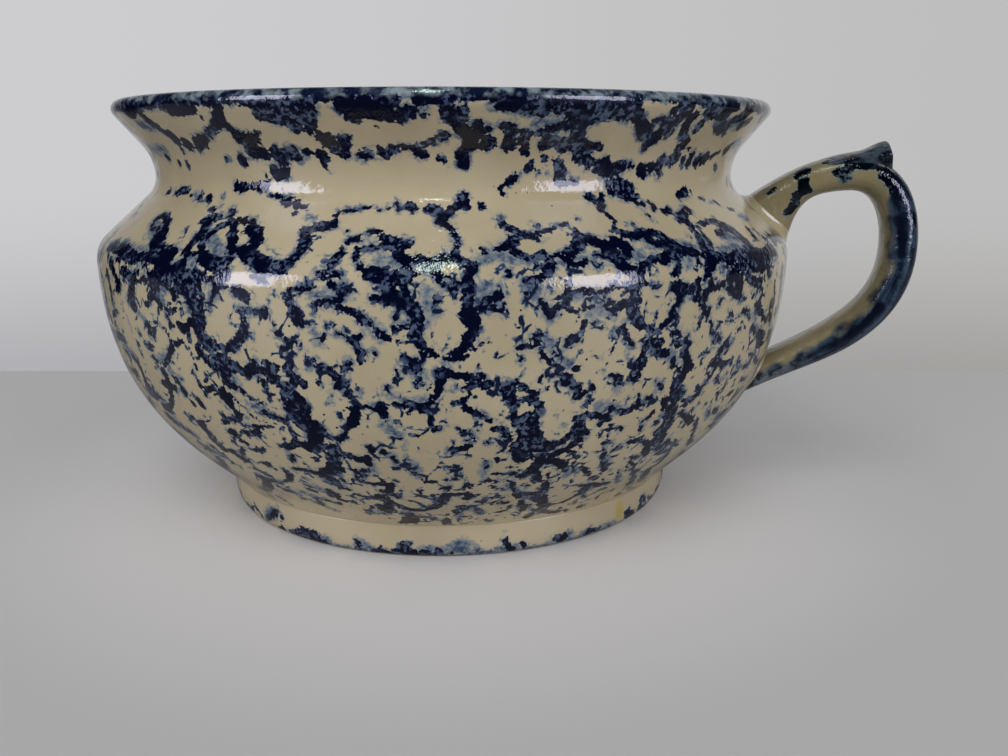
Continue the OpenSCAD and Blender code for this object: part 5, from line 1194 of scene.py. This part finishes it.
# How far round the brushed blue reaches, at places along the handle
brush_at = [44, 47, 51, 58, 68, 82, 100, 120, 142]
brush_reach = [-4, 9, 15.5, 18.4, 18.2, 17.6, 17, 16.6, 16.6]
dab_ragged = 0.3
brush_ragged = 1.3
dabs += dab_ragged * cloud(across.shape, 2)
brush_edge = np.interp(along[:, 0], brush_at, brush_reach)[:, None]
brushed = across - brush_edge + brush_ragged * cloud(across.shape, 4)
no_wash = np.full(across.shape, far_off)
for name, field in (("rope", dabs), ("wash", no_wash), ("brushed", brushed), ("along", along),
                    ("across", across)):
    mark(handle, name, np.concatenate([field.ravel(), [far_off, far_off]]))
handle_ripple = 0.0004
handle_glaze, tree, shader = glaze("handle_glaze", handle_ripple)
handle_base = printed(tree, clay(tree, paint("887e60"), paint("797052")), ("6f7a78", "2a3846", "03070f"))
lengthwise = add(tree, "CombineXYZ", X=sums(tree, "MULTIPLY", attribute(tree, "along"), 0.05),
                 Y=sums(tree, "MULTIPLY", attribute(tree, "across"), 0.28)).outputs[0]
hairs = add(tree, "TexNoise", Vector=lengthwise, Scale=1.0, Detail=4.0, Roughness=0.6).outputs["Fac"]
teal = blend(tree, ramp(tree, hairs, 0.36, 0.62), paint("0a1322"), paint("35485c"))
teal = blend(tree, ramp(tree, grain(tree, 210, 3.0, 0.6), 0.5, 0.66, 0.0, 0.8), teal, paint("0a1022"))
cover = sums(tree, "ADD", attribute(tree, "brushed"), wobble(tree, 220, 7.0))
teal = blend(tree, ramp(tree, attribute(tree, "rope"), 1.2, -0.8), teal, paint("090f1e"))
thin_end = sums(tree, "MULTIPLY", ramp(tree, attribute(tree, "along"), 116, 136, 0.0, 0.8),
                ramp(tree, grain(tree, 190, 3.0, 0.6), 0.4, 0.56))
teal = blend(tree, thin_end, teal, paint("6d7679"))
handle_colour = blend(tree, ramp(tree, cover, 2.6, -2.2), handle_base, teal)
tree.links.new(handle_colour, shader.inputs["Base Color"])
handle.data.materials.append(handle_glaze)
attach(handle, "root")
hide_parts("handle")

# Thumb rest
# The ledge on the crown of the handle with a turned-up beak, where the thumb presses when the pot is lifted.
# It was modelled on by hand from a scrap of the same clay and brushed dark blue.
thumb_w = 17.6
thumb_arch = 2.0
thumb_depth = 8.0
beak_rise = 2.2
beak_blunt = 1.0
beak_from = 0.78
beak_narrowing = 0.12
thumb_root_w = 0.4
thumb_wide_at = 0.55
thumb_tuck = 0.8
thumb_from = 0.42
thumb_over = 11.2
thumb_lift = 2.8
thumb_start_pull = 16.0
thumb_end_pull = 18.0
thumb_end_lean = 7.5
edge_round = 0.09
edge_tuck = 0.2
thumb_lean = bend_heading(rise_curve, [thumb_from])[0]
thumb_start = bend(rise_curve, [thumb_from])[0] + handle_end_t / 2 * heading(thumb_lean + 90)
thumb_end = handle_crown + [thumb_over, handle_mid_t / 2 + thumb_lift]
thumb_curve = [thumb_start, thumb_start + thumb_start_pull * heading(thumb_lean),
               thumb_end - thumb_end_pull * heading(thumb_end_lean), thumb_end]


# The thumb rest's section at a share of its length: arched on top, with rounded edges and straight flanks
def thumb_ring(share, inset):
    tip = float(ease(beak_from, 1, share))
    widened = thumb_root_w + (1 - thumb_root_w) * float(ease(0, thumb_wide_at, share))
    half_w = thumb_w / 2 * (widened - beak_narrowing * tip) - inset
    top = np.linspace(1 - edge_round, edge_round - 1, 25)
    section = np.stack([top, beak_rise * tip - (thumb_arch + beak_rise * tip) * top ** 2 - inset], 1)
    corner = np.array([-1, -thumb_arch - inset])
    side = np.array([-1 + edge_tuck * edge_round, -thumb_arch - inset - edge_round * half_w])
    rounded = bend([section[-1], corner, corner, side], np.linspace(0, 1, 7))[1:]
    flank = np.concatenate([rounded, [[-thumb_tuck, inset - thumb_depth]]])
    section = np.concatenate([section, flank, flank[::-1] * [-1, 1]])
    up = heading(bend_heading(thumb_curve, [share])[0] + 90)
    middle = bend(thumb_curve, [share])[0]
    return np.stack([middle[0] + section[:, 1] * up[0], half_w * section[:, 0],
                     middle[1] + section[:, 1] * up[1]], 1)


blunt_from = 1 - beak_blunt / np.linalg.norm(thumb_end - thumb_start)
thumb_rows = [thumb_ring(s, 0) for s in np.linspace(0, blunt_from, 60)]
thumb_rows += [thumb_ring(blunt_from + (1 - blunt_from) * u, beak_blunt * (1 - math.sqrt(1 - u * u)))
               for u in (0.35, 0.65, 0.86, 0.97, 1.0)]
thumb_rest = loft("thumb_rest_glazed", thumb_rows)
thumb_glaze, tree, shader = glaze("thumb_rest_glaze", handle_ripple)
thumb_mottle = ramp(tree, grain(tree, 170, 3.0, 0.6), 0.38, 0.58)
thumb_base = blend(tree, thumb_mottle, paint("3c4954"), paint("070c18"))
worn = ramp(tree, grain(tree, 330, 2.0), 0.64, 0.74, 0.0, 0.6)
tree.links.new(blend(tree, worn, thumb_base, paint("7d7a68")), shader.inputs["Base Color"])
thumb_rest.data.materials.append(thumb_glaze)
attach(thumb_rest, "root")
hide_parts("thumb_rest")

# Luting
# The beads of slip, clay thinned with water, that join the handle's ends to the shoulder and the belly.
# Each was wiped into the corner with a finger and fired and glazed with the rest.
slip_spread = 2.4
slip_rise = 2.4
slip_fill = 0.5
slip_in_handle = 0.6
slip_in_wall = 0.9
luting_glaze, tree, shader = glaze("luting_glaze")
tree.links.new(clay(tree, paint("a79d7c"), paint("978d6c")), shader.inputs["Base Color"])
for name, station, node in (("upper_luting_glazed", upper_station, "upper_luting"),
                            ("lower_luting_glazed", lower_station, "lower_luting")):
    at_handle = at_wall(station, sides_round, 0)
    at_spread = at_wall(station, sides_round, slip_spread)
    on_wall = handle_point(station(at_spread), sides_round, slip_spread)
    corner = handle_point(station(at_handle + slip_fill), sides_round, slip_fill)
    on_handle = handle_point(station(at_handle + slip_rise), sides_round, 0)
    in_handle = handle_point(station(at_handle), sides_round, -slip_in_handle)
    in_wall = handle_point(station(at_spread - slip_in_wall), sides_round, slip_spread)
    section = [in_handle, in_wall, on_wall]
    for t in np.linspace(0.12, 0.88, 7):
        section.append((1 - t) ** 2 * on_wall + 2 * t * (1 - t) * corner + t * t * on_handle)
    section.append(on_handle)
    count = len(section)
    points = np.stack(section, 1).reshape(-1, 3)
    flip = node == "lower_luting"
    faces = []
    for i in range(handle_sides):
        for k in range(count):
            a, b = i * count, (i + 1) % handle_sides * count
            face = (a + k, a + (k + 1) % count, b + (k + 1) % count, b + k)
            faces.append(face[::-1] if flip else face)
    bead = shape(name, points, faces)
    bead.data.materials.append(luting_glaze)
    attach(bead, "root")
    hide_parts(node)

# Shelf, light and view
# A pale shelf, which ends a little way behind the pot, under the light of two tall windows and a lamp
# overhead, seen from just below the height of the rim. Painted light makes the shelf paler close round the
# pot and towards its back, and painted shade darkens it in the glaze's reflections; the backdrop holds
# painted light.
view_turn = math.radians(8.67)
view_tilt = math.radians(13.7)
ahead = np.array([-math.sin(view_turn), math.cos(view_turn), 0.0])
aside = np.array([math.cos(view_turn), math.sin(view_turn), 0.0])
shelf_back = 0.176
shelf_front = -1.2
shelf_half = 1.6
corners = [ahead * shelf_front - aside * shelf_half, ahead * shelf_front + aside * shelf_half,
           ahead * shelf_back + aside * shelf_half, ahead * shelf_back - aside * shelf_half]
shelf_mesh = bpy.data.meshes.new("shelf")
shelf_mesh.from_pydata([tuple(c) for c in corners], [], [(0, 1, 2, 3)])
shelf = bpy.data.objects.new("shelf", shelf_mesh)
bpy.context.scene.collection.objects.link(shelf)
shelf_paint = bpy.data.materials.new("shelf_paint")
shelf_paint.use_nodes = True
tree = shelf_paint.node_tree
from_pot = add(tree, "VectorMath", {"operation": "LENGTH"}, n0=place(tree)).outputs["Value"]
frontward = add(tree, "VectorMath", {"operation": "DOT_PRODUCT"}, n0=place(tree), n1=tuple(-ahead))
toward_front = frontward.outputs["Value"]
# Painted light: the shelf is paler towards its back and darker towards the front.
painted_light_to_back = blend(tree, ramp(tree, toward_front, -0.05, 0.2), paint("cbcacb"), paint("bfbebf"))
# Painted light: the shelf is paler again close round the pot, lightening the pot's shadow there.
painted_light_shelf = blend(tree, ramp(tree, from_pot, 0.08, 0.2), paint("e2e0e0"), painted_light_to_back)
in_glaze = add(tree, "LightPath").outputs["Is Glossy Ray"]
# Painted shade in reflections: mirrored in the glaze, the shelf shows nearly black, fully so towards the
# front.
shelf_painted_dark_when_mirrored = sums(tree, "MULTIPLY", in_glaze, ramp(tree, toward_front, 0.04, 0.16, 0.6, 1.0))
shader = tree.nodes["Principled BSDF"]
tree.links.new(blend(tree, shelf_painted_dark_when_mirrored, painted_light_shelf, paint("101010")), shader.inputs["Base Color"])
shader.inputs["Roughness"].default_value = 0.6
shelf_mesh.materials.append(shelf_paint)

world = bpy.data.worlds.new("room")
world.use_nodes = True
tree = world.node_tree
room = tree.nodes["Background"]
looking = add(tree, "TexCoord").outputs["Generated"]
rightward, toward, upward = add(tree, "SeparateXYZ", Vector=looking).outputs
path_kind = add(tree, "LightPath")
mirrored = sums(tree, "MULTIPLY", path_kind.outputs["Is Glossy Ray"], ramp(tree, toward, 0.94, 0.5))
seen = sums(tree, "MAXIMUM", path_kind.outputs["Is Camera Ray"], path_kind.outputs["Is Glossy Ray"])
seen = sums(tree, "MAXIMUM", seen, path_kind.outputs["Is Transmission Ray"])
# Painted light and shade on the backdrop as seen: paler to the left and darker low down; the light it gives
# stays plain.
from_left = ramp(tree, rightward, -0.6, 0.34)
wall_low = blend(tree, from_left, paint("acabaf"), paint("9f9e9b"))
wall_high = blend(tree, from_left, paint("cdcdd0"), paint("bfbebe"))
wall_shaded = blend(tree, ramp(tree, upward, -0.25, -0.03), wall_low, wall_high)
wall_tone = blend(tree, seen, paint("a8a8a9"), wall_shaded)
tree.links.new(blend(tree, mirrored, wall_tone, paint("0c0c0c")), room.inputs["Color"])
bpy.context.scene.world = world
lamp_lift = 0.09


# A lamp that lights without being mirrored, or a pane that is only seen mirrored in the glaze
def lamp(name, direction, distance, width, height, power, tint, mirrored_only):
    light = bpy.data.lights.new(name, "AREA")
    light.shape = "RECTANGLE"
    light.size = width
    light.size_y = height
    light.energy = power
    light.color = tint
    holder = bpy.data.objects.new(name, light)
    away = np.asarray(direction) / np.linalg.norm(direction)
    holder.location = tuple(away * distance + np.array([0, 0, lamp_lift]))
    holder.rotation_euler = holder.location.to_track_quat("Z", "Y").to_euler()
    holder.visible_diffuse = not mirrored_only
    holder.visible_glossy = mirrored_only
    bpy.context.scene.collection.objects.link(holder)


left_window = (-0.703, -0.625, 0.27)
right_window = (0.796, -0.518, 0.25)
ceiling = (0.02, -0.4, 0.92)
lamp_far = 2.2
pane_far = 1.5
white = (1, 1, 1)
sky = (0.78, 0.78, 1)
tube = (0.8, 1, 0.92)
lamp("left_light", left_window, lamp_far, 1.2, 1.2, 9.2, white, False)
lamp("right_light", right_window, lamp_far, 1.2, 1.2, 11.2, white, False)
lamp("ceiling_light", (0.0, -0.66, 0.75), lamp_far, 1.2, 1.2, 12, white, False)
lamp("room_light", (0.05, -0.86, 0.5), lamp_far, 2.4, 0.7, 7.2, white, False)
lamp("left_window", left_window, pane_far, 0.52, 0.8, 12.2, sky, True)
lamp("right_window", right_window, pane_far, 0.64, 0.8, 15, sky, True)
lamp("ceiling_lamp", ceiling, pane_far, 0.1, 0.75, 4, tube, True)

focal_pixels = 940
image_w_pixels = 1008
sensor_w = 36.0
eye = bpy.data.cameras.new("eye")
eye.sensor_width = sensor_w
eye.lens = focal_pixels / image_w_pixels * sensor_w
camera = bpy.data.objects.new("eye", eye)
camera.location = (0.0742, -0.3492, 0.1256)
camera.rotation_euler = (math.pi / 2 - view_tilt, 0.0, view_turn)
bpy.context.scene.collection.objects.link(camera)
bpy.context.scene.camera = camera
bpy.context.scene.view_settings.view_transform = "Standard"
